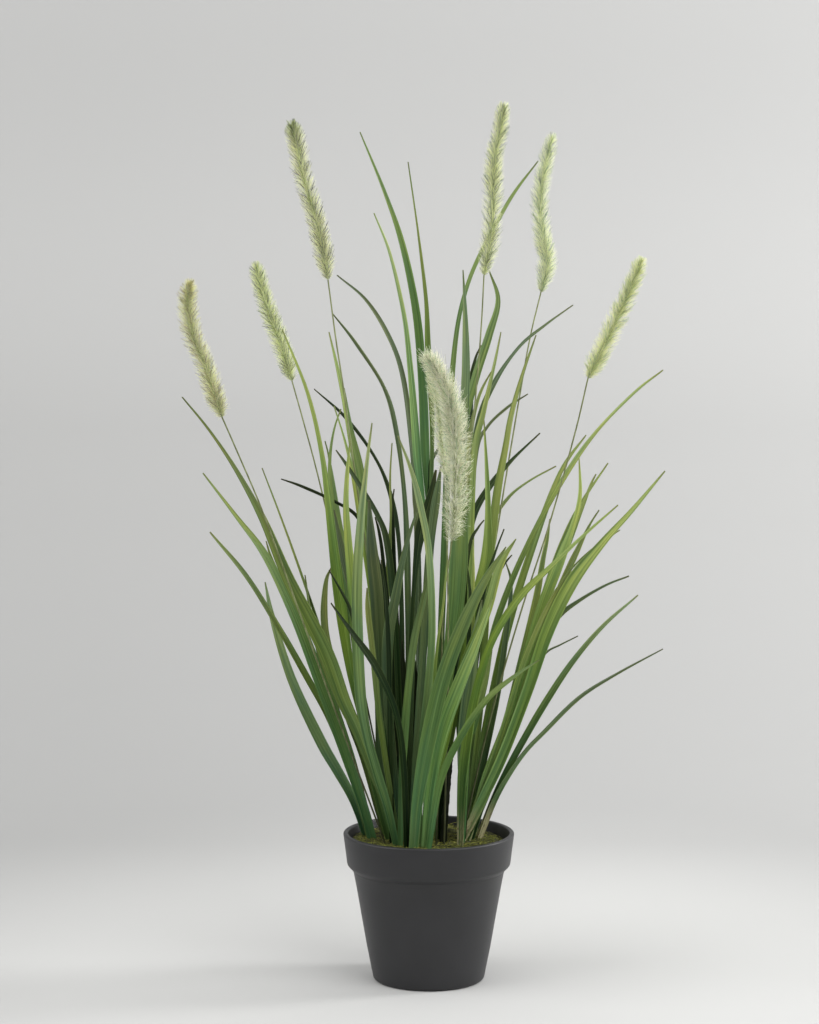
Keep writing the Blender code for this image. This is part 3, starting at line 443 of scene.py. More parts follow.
def on_sight_line(across, down, depth):
    """The point at y = depth that the eye sees at (across, down)."""
    ahead = depth - EYE.y
    slope = (VIEW_CENTRE_PX[1] - down) / FOCAL_PX
    rise = ahead * (slope * math.cos(EYE_PITCH) - math.sin(EYE_PITCH))
    rise /= math.cos(EYE_PITCH) + slope * math.sin(EYE_PITCH)
    distance = ahead * math.cos(EYE_PITCH) - rise * math.sin(EYE_PITCH)
    side = (across - VIEW_CENTRE_PX[0]) / FOCAL_PX * distance
    return Vector((EYE.x + side, depth, EYE.z + rise))


def depth_at(rank, height):
    """Pieces of a higher rank stay behind those of a lower one at every height."""
    climb = max(0.0, (height - MOSS_TOP) / (PLANT_TOP - MOSS_TOP))
    return rank * (FOOT_SPREAD + TOP_SPREAD * climb ** DEPTH_CURVE)


def route_points(rank, route):
    """The route's points in space, from the foot up."""
    points = []
    for across, down in reversed(route):
        flat = on_sight_line(across, down, 0.0)
        points.append(on_sight_line(across, down, depth_at(rank, flat.z)))
    return points


def smooth(values, t):
    """A Catmull-Rom curve through the values, for t from 0 to 1."""
    spans = len(values) - 1
    place = min(max(t, 0.0), 1.0) * spans
    i = min(int(place), spans - 1)
    f = place - i
    b, c = values[i], values[i + 1]
    a = values[i - 1] if i > 0 else b + (b - c)
    d = values[i + 2] if i + 2 <= spans else c + (c - b)
    return 0.5 * (
        2 * b + (c - a) * f + (2 * a - 5 * b + 4 * c - d) * f * f + (3 * b - a - 3 * c + d) * f ** 3
    )


def deselect_all():
    for item in list(bpy.context.selected_objects):
        item.select_set(False)
    bpy.context.view_layer.objects.active = None


def activate(piece):
    deselect_all()
    piece.select_set(True)
    bpy.context.view_layer.objects.active = piece


def apply_modifiers(piece):
    activate(piece)
    for modifier in list(piece.modifiers):
        bpy.ops.object.modifier_apply(modifier=modifier.name)


def mesh_object(name, verts, faces):
    """An object at the origin from arrays of points and faces of one size."""
    mesh = bpy.data.meshes.new(name)
    count, corners = faces.shape
    mesh.vertices.add(len(verts))
    mesh.vertices.foreach_set("co", verts.astype(np.float32).ravel())
    mesh.loops.add(count * corners)
    mesh.loops.foreach_set("vertex_index", faces.astype(np.int32).ravel())
    mesh.polygons.add(count)
    mesh.polygons.foreach_set("loop_start", np.arange(0, count * corners, corners, dtype=np.int32))
    mesh.update(calc_edges=True)
    piece = bpy.data.objects.new(name, mesh)
    bpy.context.scene.collection.objects.link(piece)
    return piece


def point_attribute(piece, name, values):
    layer = piece.data.attributes.new(name, "FLOAT", "POINT")
    layer.data.foreach_set("value", np.asarray(values, dtype=np.float32))


def finish_piece(piece, mat, node=None):
    piece.data.materials.clear()
    piece.data.materials.append(mat)
    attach(piece, BODY)
    if node:
        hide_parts(node)


# Shared shading helpers

def new_material(name, roughness):
    mat = bpy.data.materials.new(name)
    mat.use_nodes = True
    shader = mat.node_tree.nodes["Principled BSDF"]
    shader.inputs["Roughness"].default_value = roughness
    return mat, mat.node_tree.nodes, mat.node_tree.links, shader


def new_group(name, inputs, outputs):
    """A shader node group with float, colour or vector sockets, as (name, kind, default)."""
    group = bpy.data.node_groups.new(name, "ShaderNodeTree")
    for label, kind, default in inputs:
        socket = group.interface.new_socket(label, in_out="INPUT", socket_type=kind)
        if default is not None:
            socket.default_value = default
    for label, kind in outputs:
        group.interface.new_socket(label, in_out="OUTPUT", socket_type=kind)
    return group, group.nodes.new("NodeGroupInput"), group.nodes.new("NodeGroupOutput")


def math_node(tree, operation, a, b=None, c=None):
    node = tree.nodes.new("ShaderNodeMath")
    node.operation = operation
    for socket, value in zip(node.inputs, (a, b, c)):
        if value is None:
            continue
        if isinstance(value, (int, float)):
            socket.default_value = value
        else:
            tree.links.new(value, socket)
    return node.outputs[0]


def mix_colour(tree, factor, a, b, blend="MIX"):
    node = tree.nodes.new("ShaderNodeMix")
    node.data_type = "RGBA"
    node.blend_type = blend
    for socket, value in ((node.inputs[0], factor), (node.inputs[6], a), (node.inputs[7], b)):
        if isinstance(value, (int, float)):
            socket.default_value = value
        elif isinstance(value, tuple):
            socket.default_value = (*value, 1.0)
        else:
            tree.links.new(value, socket)
    return node.outputs[2]


def ramp(tree, value, low, high):
    """0 below low, 1 above high, smooth between."""
    node = tree.nodes.new("ShaderNodeMapRange")
    node.interpolation_type = "SMOOTHSTEP"
    node.inputs["From Min"].default_value = low
    node.inputs["From Max"].default_value = high
    tree.links.new(value, node.inputs["Value"])
    return node.outputs["Result"]


def noise_node(tree, vector, scale, detail=2.0):
    node = tree.nodes.new("ShaderNodeTexNoise")
    node.inputs["Scale"].default_value = scale
    node.inputs["Detail"].default_value = detail
    tree.links.new(vector, node.inputs["Vector"])
    return node.outputs["Fac"]


def attribute_value(tree, name):
    node = tree.nodes.new("ShaderNodeAttribute")
    node.attribute_name = name
    return node.outputs["Fac"]


def bump(tree, height, strength, distance):
    node = tree.nodes.new("ShaderNodeBump")
    node.inputs["Strength"].default_value = strength
    node.inputs["Distance"].default_value = distance
    tree.links.new(height, node.inputs["Height"])
    return node.outputs["Normal"]


# Pot

def pot_plastic(settings):
    """Matt moulded plastic: a fine grain, soft blotches and a few pale scuffs."""
    mat, nodes, links, shader = new_material("pot_plastic", 0.5)
    tree = mat.node_tree
    place = nodes.new("ShaderNodeTexCoord").outputs["Object"]
    cloud = noise_node(tree, place, 26.0, 3.0)
    grain = noise_node(tree, place, 2600.0, 1.0)
    stretch = nodes.new("ShaderNodeMapping")
    stretch.inputs["Scale"].default_value = (90.0, 90.0, 420.0)
    links.new(place, stretch.inputs["Vector"])
    streak = noise_node(tree, stretch.outputs["Vector"], 1.0, 2.0)
    scuff = math_node(tree, "MULTIPLY", ramp(tree, streak, 0.72, 0.80), ramp(tree, cloud, 0.52, 0.66))
    base = tuple(settings.plastic)
    lighter = tuple(c * 1.28 for c in base)
    dusty = tuple(min(1.0, c * 2.4 + 0.01) for c in base)
    colour = mix_colour(tree, ramp(tree, cloud, 0.35, 0.7), base, lighter)
    links.new(mix_colour(tree, scuff, colour, dusty), shader.inputs["Base Color"])
    links.new(math_node(tree, "MULTIPLY_ADD", cloud, 0.16, 0.38), shader.inputs["Roughness"])
    height = math_node(tree, "ADD", grain, scuff)
    links.new(bump(tree, height, 0.16, 0.0003), shader.inputs["Normal"])
    return mat


def arc(centre, radius, start, end, steps):
    """Points of a rounding, its angles in degrees from the radial direction."""
    points = []
    for i in range(steps + 1):
        angle = math.radians(start + (end - start) * i / steps)
        points.append((centre[0] + radius * math.cos(angle), centre[1] + radius * math.sin(angle)))
    return points


def pot_profile(s):
    """(radius, height) from the underside up the outer wall, over the lip and down inside."""
    foot_rounding, lip_rounding, edge = 0.004, 0.0016, 0.0007
    band_z = POT_HEIGHT - s.band_height
    band_r = RIM_RADIUS - s.band_taper
    step_z, step_r = band_z - s.step_height, band_r - s.step_width
    inner_rim = RIM_RADIUS - s.lip_width
    points = [(s.foot_radius * 0.5, 0.0)]
    points += arc((s.foot_radius - foot_rounding, foot_rounding), foot_rounding, -90, -6, 7)
    for share in (0.3, 0.6, 0.85):
        points.append((s.foot_radius + (step_r - s.foot_radius) * share, step_z * share))
    points += [(step_r - 0.0002, step_z - 0.0024), (step_r + 0.00015, step_z - 0.0017)]
    points += [(step_r + 0.0004, step_z - 0.0011), (step_r + 0.0004, step_z - 0.0005)]
    points += [(step_r + 0.0008, step_z + 0.0004), (step_r + 0.0020, step_z + 0.0013)]
    points += [(band_r - 0.0013, band_z - 0.0022), (band_r - 0.0004, band_z - 0.0009)]
    points += [(band_r, band_z + edge), (band_r + s.band_taper * 0.4, band_z + s.band_height * 0.4)]
    points += arc((RIM_RADIUS - lip_rounding, POT_HEIGHT - lip_rounding), lip_rounding, 0, 90, 6)
    points += arc((inner_rim + lip_rounding, POT_HEIGHT - lip_rounding), lip_rounding, 90, 180, 6)
    points += [(step_r - s.wall, step_z + 0.001)]
    points += [(s.foot_radius - s.wall + 0.001, 0.006), (s.foot_radius - s.wall - 0.002, 0.0035)]
    return points


def ring_up(profile, sides, name):
    """Extrudes a ring of the given number of sides along the profile and closes both ends."""
    deselect_all()
    first = profile[0]
    bpy.ops.mesh.primitive_circle_add(vertices=sides, radius=first[0], fill_type="NGON")
    piece = bpy.context.object
    piece.name = piece.data.name = name
    bpy.ops.object.mode_set(mode="EDIT")
    bpy.ops.mesh.select_all(action="SELECT")
    bpy.ops.transform.translate(value=(0.0, 0.0, first[1]))
    for (r0, z0), (r1, z1) in zip(profile, profile[1:]):
        bpy.ops.mesh.extrude_region_move(TRANSFORM_OT_translate={"value": (0.0, 0.0, z1 - z0)})
        bpy.ops.transform.resize(value=(r1 / r0, r1 / r0, 1.0), center_override=(0.0, 0.0, z1))
    bpy.ops.mesh.select_all(action="SELECT")
    bpy.ops.mesh.remove_doubles(threshold=0.000001)
    bpy.ops.mesh.normals_make_consistent(inside=False)
    bpy.ops.object.mode_set(mode="OBJECT")
    piece.data.shade_smooth()
    activate(piece)
    bpy.ops.object.shade_smooth_by_angle(angle=math.radians(50))
    return piece


class GRASS_OT_pot(bpy.types.Operator):
    """Build the tapered pot with its rim band, rounded lip and foot"""
    bl_idname = "grass.pot"
    bl_label = "Pot"

    def execute(self, context):
        settings = context.scene.grass_pot
        piece = ring_up(pot_profile(settings), 128, "pot_shell")
        finish_piece(piece, pot_plastic(settings), "pot")
        return {"FINISHED"}


class GRASS_OT_filling(bpy.types.Operator):
    """Give the hidden filling its rough mortar finish"""
    bl_idname = "grass.filling"
    bl_label = "Filling"

    def execute(self, context):
        mat, nodes, links, shader = new_material("filling_mortar", 0.95)
        tree = mat.node_tree
        place = nodes.new("ShaderNodeTexCoord").outputs["Object"]
        sand = noise_node(tree, place, 420.0, 4.0)
        links.new(mix_colour(tree, sand, (0.13, 0.12, 0.10), (0.30, 0.28, 0.24)),
                  shader.inputs["Base Color"])
        links.new(bump(tree, sand, 0.6, 0.001), shader.inputs["Normal"])
        filling = bpy.data.objects["filling"]
        for slot in filling.material_slots:
            slot.material = mat
        return {"FINISHED"}


# Moss

def moss_height(x, y):
    """The moss bed's surface: lumps and hollows that sink towards the pot's right side."""
    lumps = noise.noise(Vector((x * 90.0, y * 90.0, 1.3))) * 0.0034
    crumbs = noise.noise(Vector((x * 240.0, y * 240.0, 4.1))) * 0.0012
    edge = max(0.0, math.hypot(x, y) / MOSS_RADIUS - 0.85) * 0.012
    return min(MOSS_TOP, MOSS_TOP - 0.0012 - x * 0.030 + lumps) + crumbs - edge


def moss_material(settings):
    mat, nodes, links, shader = new_material("moss_fibre", 0.9)
    tree = mat.node_tree
    place = nodes.new("ShaderNodeTexCoord").outputs["Object"]
    patch = noise_node(tree, place, 60.0, 3.0)
    tint = attribute_value(tree, "tint")
    base = tuple(settings.moss)
    # The tint mixes near-black, the moss colour and a bright tone. Its low end is painted shade: the bed
    # and the strands' roots take it, where the strands shade each other.
    dark = tuple(c * 0.12 for c in base)
    bright = tuple(min(1.0, c * 1.9) for c in base)
    colour = mix_colour(tree, ramp(tree, tint, 0.05, 0.5), dark, base)
    colour = mix_colour(tree, ramp(tree, tint, 0.55, 1.0), colour, bright)
    shade = mix_colour(tree, ramp(tree, patch, 0.35, 0.65), (0.62, 0.66, 0.55), (1.0, 1.0, 1.0))
    links.new(mix_colour(tree, 1.0, colour, shade, "MULTIPLY"), shader.inputs["Base Color"])
    return mat


def strand_template(sides, cuts, tip):
    """A closed prism of height 1 about +Z: points, and triangles running round it."""
    deselect_all()
    bpy.ops.mesh.primitive_cone_add(vertices=sides, radius1=1.0, radius2=tip, depth=1.0,
                                    location=(0.0, 0.0, 0.5), end_fill_type="NGON")
    piece = bpy.context.object
    bpy.ops.object.transform_apply(location=True, rotation=False, scale=False)
    bpy.ops.object.mode_set(mode="EDIT")
    for i in range(cuts):
        bpy.ops.mesh.select_all(action="SELECT")
        bpy.ops.mesh.bisect(plane_co=(0.0, 0.0, (i + 1.0) / (cuts + 1)), plane_no=(0.0, 0.0, 1.0))
    bpy.ops.mesh.select_all(action="SELECT")
    bpy.ops.mesh.quads_convert_to_tris()
    bpy.ops.object.mode_set(mode="OBJECT")
    points = np.array([v.co[:] for v in piece.data.vertices])
    faces = np.array([p.vertices[:] for p in piece.data.polygons])
    mesh = piece.data
    bpy.data.objects.remove(piece)
    bpy.data.meshes.remove(mesh)
    return points, faces


def unit_rows(rows):
    return rows / np.maximum(np.linalg.norm(rows, axis=1, keepdims=True), 1e-9)


def strands(template, roots, heads, bends, widths):
    """Copies the template along each root + head * t + bend * t * t. Returns points, faces, t."""
    points, faces = template
    side = unit_rows(np.cross(heads, np.roll(heads, 1, axis=1) + 0.001))
    up = unit_rows(np.cross(heads, side))
    t = points[:, 2]
    spine = roots[:, None, :] + heads[:, None, :] * t[None, :, None]
    spine += bends[:, None, :] * (t * t)[None, :, None]
    girth = widths[:, None, None]
    verts = spine + side[:, None, :] * points[None, :, 0, None] * girth
    verts += up[:, None, :] * points[None, :, 1, None] * girth
    shift = (np.arange(len(roots)) * len(points))[:, None, None]
    all_faces = faces[None, :, :] + shift
    return verts.reshape(-1, 3), all_faces.reshape(-1, 3), np.tile(t, len(roots))


class GRASS_OT_moss(bpy.types.Operator):
    """Build the lumpy moss bed and the curled strands that cover it"""
    bl_idname = "grass.moss"
    bl_label = "Moss"

    def execute(self, context):
        settings = context.scene.grass_moss
        mat = moss_material(settings)
        finish_piece(self.bed(), mat, "moss")
        finish_piece(self.cover(settings.strands), mat, "moss")
        return {"FINISHED"}

    def bed(self):
        rings = 34
        profile = [(0.0008, MOSS_LOW.z), (MOSS_RADIUS - 0.0012, MOSS_LOW.z)]
        profile += [(MOSS_RADIUS - 0.0006, MOSS_TOP - 0.004)]
        for i in range(rings):
            profile.append(((MOSS_RADIUS - 0.0012) * (1.0 - i / rings) + 0.0004, MOSS_TOP - 0.001))
        piece = ring_up(profile, 120, "moss_bed")
        bed_tones_and_gap_shade = []
        for vertex in piece.data.vertices:
            if vertex.co.z > MOSS_TOP - 0.002:
                vertex.co.z = moss_height(vertex.co.x, vertex.co.y)
            # The bed is painted shade: its low tints make it mostly near-black, the shade in the gaps
            # between the strands
            bed_tones_and_gap_shade.append(0.06 + 0.35 * noise.noise(vertex.co * 260.0))
        point_attribute(piece, "tint", bed_tones_and_gap_shade)
        return piece

    def cover(self, count):
        rng = np.random.default_rng(SEED)
        angle = rng.uniform(0.0, math.tau, count)
        reach = np.sqrt(rng.uniform(0.0, 1.0, count)) * (MOSS_RADIUS - 0.004)
        x, y = reach * np.cos(angle), reach * np.sin(angle)
        z = np.array([moss_height(a, b) for a, b in zip(x, y)]) - 0.0004
        lean = rng.uniform(0.0, math.tau, count)
        length = rng.uniform(0.0022, 0.0056, count)
        rise = rng.uniform(0.10, 0.90, count)
        flat = np.sqrt(1.0 - rise ** 2)
        heads = np.stack([np.cos(lean) * flat, np.sin(lean) * flat, rise], 1) * length[:, None]
        curl = rng.normal(0.0, 0.5, (count, 3)) * length[:, None]
        curl[:, 2] = -rng.uniform(0.2, 0.9, count) * heads[:, 2]
        widths = rng.uniform(0.00016, 0.00034, count)
        roots = np.stack([x, y, z], 1)
        ends = roots + heads + curl
        over = np.maximum(np.hypot(ends[:, 0], ends[:, 1]) - (MOSS_RADIUS - 0.001), 0.0)
        curl[:, :2] -= unit_rows(ends[:, :2]) * over[:, None]
        verts, faces, t = strands(strand_template(3, 3, 0.35), roots, heads, curl, widths)
        piece = mesh_object("moss_strands", verts, faces)
        piece.data.shade_smooth()
        tint = np.repeat(rng.beta(1.6, 1.8, count), len(t) // count)
        # Each strand is darker towards its root: painted shade among the strands; the random part of the
        # tint is the moss's own tone
        point_attribute(piece, "tint", tint * (0.55 + 0.45 * t))
        return piece


# Leaves

def leaf_group():
    """Colour and relief of a strap leaf, from the measures stored along and across its blade."""
    group, inside, outside = new_group(
        "Leaf blade",
        (("Foot", "NodeSocketColor", None), ("Middle", "NodeSocketColor", None),
         ("Tip", "NodeSocketColor", None)),
        (("Colour", "NodeSocketColor"), ("Roughness", "NodeSocketFloat"),
         ("Height", "NodeSocketFloat")))
    across, along = attribute_value(group, "across"), attribute_value(group, "along")
    share, side = attribute_value(group, "share"), attribute_value(group, "side")
    seed, shade = attribute_value(group, "seed"), attribute_value(group, "shade")

    def streaks(pitch, length, push, detail):
        vector = group.nodes.new("ShaderNodeCombineXYZ")
        group.links.new(math_node(group, "DIVIDE", across, pitch), vector.inputs["X"])
        group.links.new(math_node(group, "DIVIDE", along, length), vector.inputs["Y"])
        group.links.new(math_node(group, "MULTIPLY", seed, push), vector.inputs["Z"])
        return noise_node(group, vector.outputs["Vector"], 1.0, detail)

    def tinted(body, mask, low, high):
        return mix_colour(group, 1.0, body, mix_colour(group, mask, low, high), "MULTIPLY")

    veins, stripes = streaks(0.0006, 0.09, 90.0, 2.0), streaks(0.0026, 0.20, 60.0, 2.0)
    clouds, flecks = streaks(0.006, 0.06, 40.0, 2.0), streaks(0.0012, 0.004, 70.0, 2.0)
    low = mix_colour(group, ramp(group, share, 0.04, 0.40), inside.outputs["Foot"],
                     inside.outputs["Middle"])
    body = mix_colour(group, ramp(group, share, 0.45, 0.98), low, inside.outputs["Tip"])
    body = tinted(body, ramp(group, veins, 0.32, 0.68), (0.80, 0.82, 0.78), (1.18, 1.16, 1.12))
    strength = math_node(group, "MULTIPLY_ADD", seed, 1.9, 0.7)
    bands = math_node(group, "SUBTRACT", stripes, 0.5)
    bands = math_node(group, "MULTIPLY_ADD", bands, strength, 0.5)
    body = tinted(body, ramp(group, bands, 0.0, 1.0), (0.58, 0.66, 0.60), (1.42, 1.34, 1.26))
    body = tinted(body, ramp(group, clouds, 0.30, 0.70), (0.82, 0.90, 0.98), (1.18, 1.08, 0.90))
    rib = ramp(group, side, 0.12, 0.0)
    body = mix_colour(group, math_node(group, "MULTIPLY", rib, 0.16), body, (0.20, 0.29, 0.09))
    # Painted highlight: a lighter line along both edges of the blade
    rim = math_node(group, "MULTIPLY", ramp(group, side, 0.84, 0.97), 0.14)
    body = mix_colour(group, rim, body, (0.24, 0.33, 0.10))
    line = math_node(group, "MULTIPLY", ramp(group, veins, 0.60, 0.70), ramp(group, bands, 0.45, 0.9))
    body = mix_colour(group, math_node(group, "MULTIPLY", line, 0.30), body, (0.30, 0.40, 0.20))
    brown = math_node(group, "MULTIPLY", ramp(group, share, 0.955, 1.0), 0.45)
    body = mix_colour(group, brown, body, (0.10, 0.080, 0.035))
    foot = math_node(group, "MULTIPLY", ramp(group, along, 0.044, 0.010),
                     attribute_value(group, "straw"))
    foot = math_node(group, "MULTIPLY", foot, ramp(group, stripes, 0.30, 0.55))
    body = mix_colour(group, foot, body, (0.44, 0.40, 0.23))
    spots = math_node(group, "MULTIPLY", ramp(group, flecks, 0.54, 0.64), foot)
    body = mix_colour(group, spots, body, (0.10, 0.07, 0.035))
    # Each leaf's shade value multiplies its colour: partly the leaf's own tone, partly painted light and
    # painted shade
    tone = group.nodes.new("ShaderNodeCombineColor")
    for channel in ("Red", "Green", "Blue"):
        group.links.new(shade, tone.inputs[channel])
    body = mix_colour(group, 1.0, body, tone.outputs["Color"], "MULTIPLY")
    group.links.new(body, outside.inputs["Colour"])
    group.links.new(math_node(group, "MULTIPLY_ADD", clouds, 0.22, 0.32),
                    outside.inputs["Roughness"])
    relief = math_node(group, "ADD", veins, math_node(group, "ADD", stripes, rib))
    group.links.new(relief, outside.inputs["Height"])
    return group


def leaf_materials(group, gloss):
    """One material for each finish, all from the leaf blade group."""
    mats = {}
    for label, colours in LEAF_FINISHES.items():
        mat, nodes, links, shader = new_material("leaf_" + label, 0.42)
        blade = nodes.new("ShaderNodeGroup")
        blade.node_tree = group
        for socket, colour in zip(("Foot", "Middle", "Tip"), colours):
            blade.inputs[socket].default_value = (*colour, 1.0)
        links.new(blade.outputs["Colour"], shader.inputs["Base Color"])
        links.new(blade.outputs["Roughness"], shader.inputs["Roughness"])
        shader.inputs["Specular IOR Level"].default_value = gloss * (0.4 if label == "dark" else 1.0)
        links.new(bump(mat.node_tree, blade.outputs["Height"], 0.5, 0.0003),
                  shader.inputs["Normal"])
        mats[label] = mat
    return mats


def leaf_blade(name, rank, foot_turn, tip_turn, route, settings, number):
    """A blade with a fold along its midrib and waved edges, bent from a flat grid."""
    points = route_points(rank, [(across, down) for across, down, seen in route])
    tuft = name in TUFT_LEAVES
    if not tuft:
        points[0].z = moss_height(points[0].x, points[0].y) - 0.003
    widths = [seen * METRES_PER_PX for across, down, seen in reversed(route)]
    path = np.array([smooth(points, i / 200)[:] for i in range(201)])
    reach = np.concatenate([[0.0], np.cumsum(np.linalg.norm(np.diff(path, axis=0), axis=1))])
    length = reach[-1]
    rows = int(min(60, max(24, length / 0.007)))
    deselect_all()
    bpy.ops.mesh.primitive_grid_add(x_subdivisions=6, y_subdivisions=rows, size=2.0)
    piece = bpy.context.object
    piece.name = piece.data.name = name
    phase = number * 2.399
    waves = length / 0.055
    sides = np.array([vertex.co.x for vertex in piece.data.vertices])
    along_metres = np.array([np.interp((vertex.co.y + 1.0) * 100.0, range(201), reach)
                             for vertex in piece.data.vertices])
    point_attribute(piece, "across", sides * 0.5 * max(widths))
    point_attribute(piece, "side", np.abs(sides))
    point_attribute(piece, "along", along_metres)
    point_attribute(piece, "share", along_metres / length)
    for label, value in (("seed", (number * 0.618) % 1.0), ("shade", LEAF_TONE_AND_PAINTED_LIGHT.get(name, 1.0)),
                         ("straw", STRAW_FEET.get(name, 0.0))):
        point_attribute(piece, label, [value] * len(sides))
    for vertex in piece.data.vertices:
        side, t = vertex.co.x, (vertex.co.y + 1.0) / 2.0
        middle = smooth(points, t)
        along = (smooth(points, t + 0.01) - smooth(points, t - 0.01)).normalized()
        across = Vector((0.0, 1.0, 0.0)).cross(along).normalized()
        outward = across.cross(along)
        turn = math.radians(foot_turn + (tip_turn - foot_turn) * t)
        turn += math.radians(5.0) * math.sin(waves * 1.7 * t + phase)
        half = 0.5 * max(smooth(widths, t), 0.0005) / math.cos(turn)
        out = across * math.cos(turn) + outward * math.sin(turn)
        back = out.cross(along)
        fold = settings.fold * half * (1.0 - abs(side) ** 1.4)
        wave = settings.ruffle * side * abs(side) * math.sin(math.tau * waves * 0.4 * t + phase * side)
        vertex.co = middle + out * half * side - back * (fold - wave * min(1.0, half / 0.003))
    solid = piece.modifiers.new("Thickness", "SOLIDIFY")
    solid.thickness = settings.thickness
    solid.offset = 0.0
    apply_modifiers(piece)
    piece.data.shade_smooth()
    activate(piece)
    bpy.ops.object.shade_smooth_by_angle(angle=math.radians(60))
    return piece


def build_leaves(table, settings, first, replace):
    group = bpy.data.node_groups.get("Leaf blade") or leaf_group()
    mats = {}
    for label in LEAF_FINISHES:
        mats[label] = bpy.data.materials.get("leaf_" + label)
    if not all(mats.values()):
        mats = leaf_materials(group, settings.gloss)
    for number, (name, entry) in enumerate(table.items(), first):
        finish, rank, foot_turn, tip_turn, route = entry
        label = name.replace("leaf", "blade", 1) if replace else name
        piece = leaf_blade(name, rank, foot_turn, tip_turn, route, settings, number)
        piece.name = piece.data.name = label
        finish_piece(piece, mats[finish], name if replace else None)


class GRASS_OT_leaves(bpy.types.Operator):
    """Build the long strap leaves in place of their plain solids"""
    bl_idname = "grass.leaves"
    bl_label = "Long leaves"

    def execute(self, context):
        build_leaves(LEAVES, context.scene.grass_leaf, 1, True)
        return {"FINISHED"}


class GRASS_OT_short_leaves(bpy.types.Operator):
    """Build the shorter and partly hidden leaves"""
    bl_idname = "grass.short_leaves"
    bl_label = "Short leaves"

    def execute(self, context):
        build_leaves(SHORT_LEAVES, context.scene.grass_leaf, len(LEAVES) + 1, False)
        return {"FINISHED"}


# Stems

def stem_material(name, dark, light):
    mat, nodes, links, shader = new_material(name, 0.5)
    tree = mat.node_tree
    place = nodes.new("ShaderNodeTexCoord").outputs["Object"]
    mapping = nodes.new("ShaderNodeMapping")
    mapping.inputs["Scale"].default_value = (500.0, 500.0, 40.0)
    links.new(place, mapping.inputs["Vector"])
    streak = noise_node(tree, mapping.outputs["Vector"], 1.0, 3.0)
    parts = nodes.new("ShaderNodeSeparateXYZ")
    links.new(place, parts.inputs["Vector"])
    colour = mix_colour(tree, ramp(tree, streak, 0.3, 0.7), dark, light)
    # Painted shade: the stems grow darker below about 0.36 m, down into the shaded middle of the clump
    painted_low_shade = mix_colour(tree, ramp(tree, parts.outputs["Z"], 0.14, 0.36), (0.3, 0.3, 0.3), (1.0, 1.0, 1.0))
    links.new(mix_colour(tree, 1.0, colour, painted_low_shade, "MULTIPLY"), shader.inputs["Base Color"])
    shader.inputs["Specular IOR Level"].default_value = 0.15
    links.new(bump(tree, streak, 0.4, 0.0002), shader.inputs["Normal"])
    return mat


def round_stem(name, points, radii):
    """A smooth round tube through the points, closed at both ends."""
    curve = bpy.data.curves.new(name, "CURVE")
    curve.dimensions = "3D"
    curve.bevel_depth = 1.0
    curve.bevel_resolution = 3
    curve.use_fill_caps = True
    spline = curve.splines.new("POLY")
    spline.points.add(len(points) - 1)
    for target, place, radius in zip(spline.points, points, radii):
        target.co = (*place, 1.0)
        target.radius = radius
    piece = bpy.data.objects.new(name, curve)
    bpy.context.scene.collection.objects.link(piece)
    activate(piece)
    bpy.ops.object.convert(target="MESH")
    piece = bpy.context.object
    piece.name = piece.data.name = name
    bpy.ops.object.mode_set(mode="EDIT")
    bpy.ops.mesh.select_all(action="SELECT")
    bpy.ops.mesh.remove_doubles(threshold=0.000001)
    bpy.ops.mesh.normals_make_consistent(inside=False)
    bpy.ops.object.mode_set(mode="OBJECT")
    bpy.ops.object.shade_smooth_by_angle(angle=math.radians(50))
    return piece


def sampled(points, count):
    return [smooth(points, i / (count - 1)) for i in range(count)]


class GRASS_OT_stems(bpy.types.Operator):
    """Build the plumes' wire stems and the two thick stems"""
    bl_idname = "grass.stems"
    bl_label = "Stems"

    def execute(self, context):
        wire_mat = stem_material("stem_wire", (0.13, 0.15, 0.06), (0.27, 0.30, 0.14))
        dark_mat = stem_material("stem_dark", (0.010, 0.018, 0.006), (0.040, 0.052, 0.018))
        for name, (rank, girth, core, route) in PLUMES.items():
            spine = route_points(rank, core)
            points = route_points(rank, route) + [spine[0]]
            points[0].z = MOSS_TOP - 0.003
            radii = [0.00085 - 0.0002 * i / 59 for i in range(60)]
            piece = round_stem("wire_" + name, sampled(points, 60), radii)
            finish_piece(piece, wire_mat, "stem_" + name)
        for name, (rank, radius, route) in THICK_STEMS.items():
            points = route_points(rank, route)
            points[0].z = MOSS_TOP - 0.003
            radii = []
            for i in range(40):
                t = i / 39
                ridge = 0.06 * math.sin(t * 37.0) + 0.05 * math.sin(t * 91.0)
                tip = math.sqrt(max(0.02, 1.0 - max(0.0, (t - 0.93) / 0.07) ** 2))
                radii.append(radius * (1.0 - 0.45 * t + ridge) * tip)
            piece = round_stem(name.replace("_stem", "_cane"), sampled(points, 40), radii)
            finish_piece(piece, dark_mat, name)
        return {"FINISHED"}


# Plumes

def bristle_material():
    """Soft bristles that take their colours from the points of their own mesh."""
    mat, nodes, links, shader = new_material("plume_bristle", 0.7)
    tone = nodes.new("ShaderNodeAttribute")
    tone.attribute_name = "tone"
    links.new(tone.outputs["Color"], shader.inputs["Base Color"])
    shader.inputs["Specular IOR Level"].default_value = 0.2
    shader.inputs["Sheen Weight"].default_value = 0.6
    return mat


def plume_frame(spine, count):
    """Points, directions and two sideways directions along the core."""
    t = np.linspace(0.0, 1.0, count)
    places = np.array([smooth(spine, a)[:] for a in t])
    ahead = np.gradient(places, axis=0)
    ahead = unit_rows(ahead)
    side = unit_rows(np.cross(ahead, np.array([0.0, 1.0, 0.0])))
    return t, places, ahead, side, np.cross(ahead, side)


def plume_taper(t):
    """A plume keeps its full radius up to the rounding of its tip."""
    into_tip = np.clip((t - 0.72) / 0.30, 0.0, 0.98)
    return np.sqrt(1.0 - into_tip ** 2)


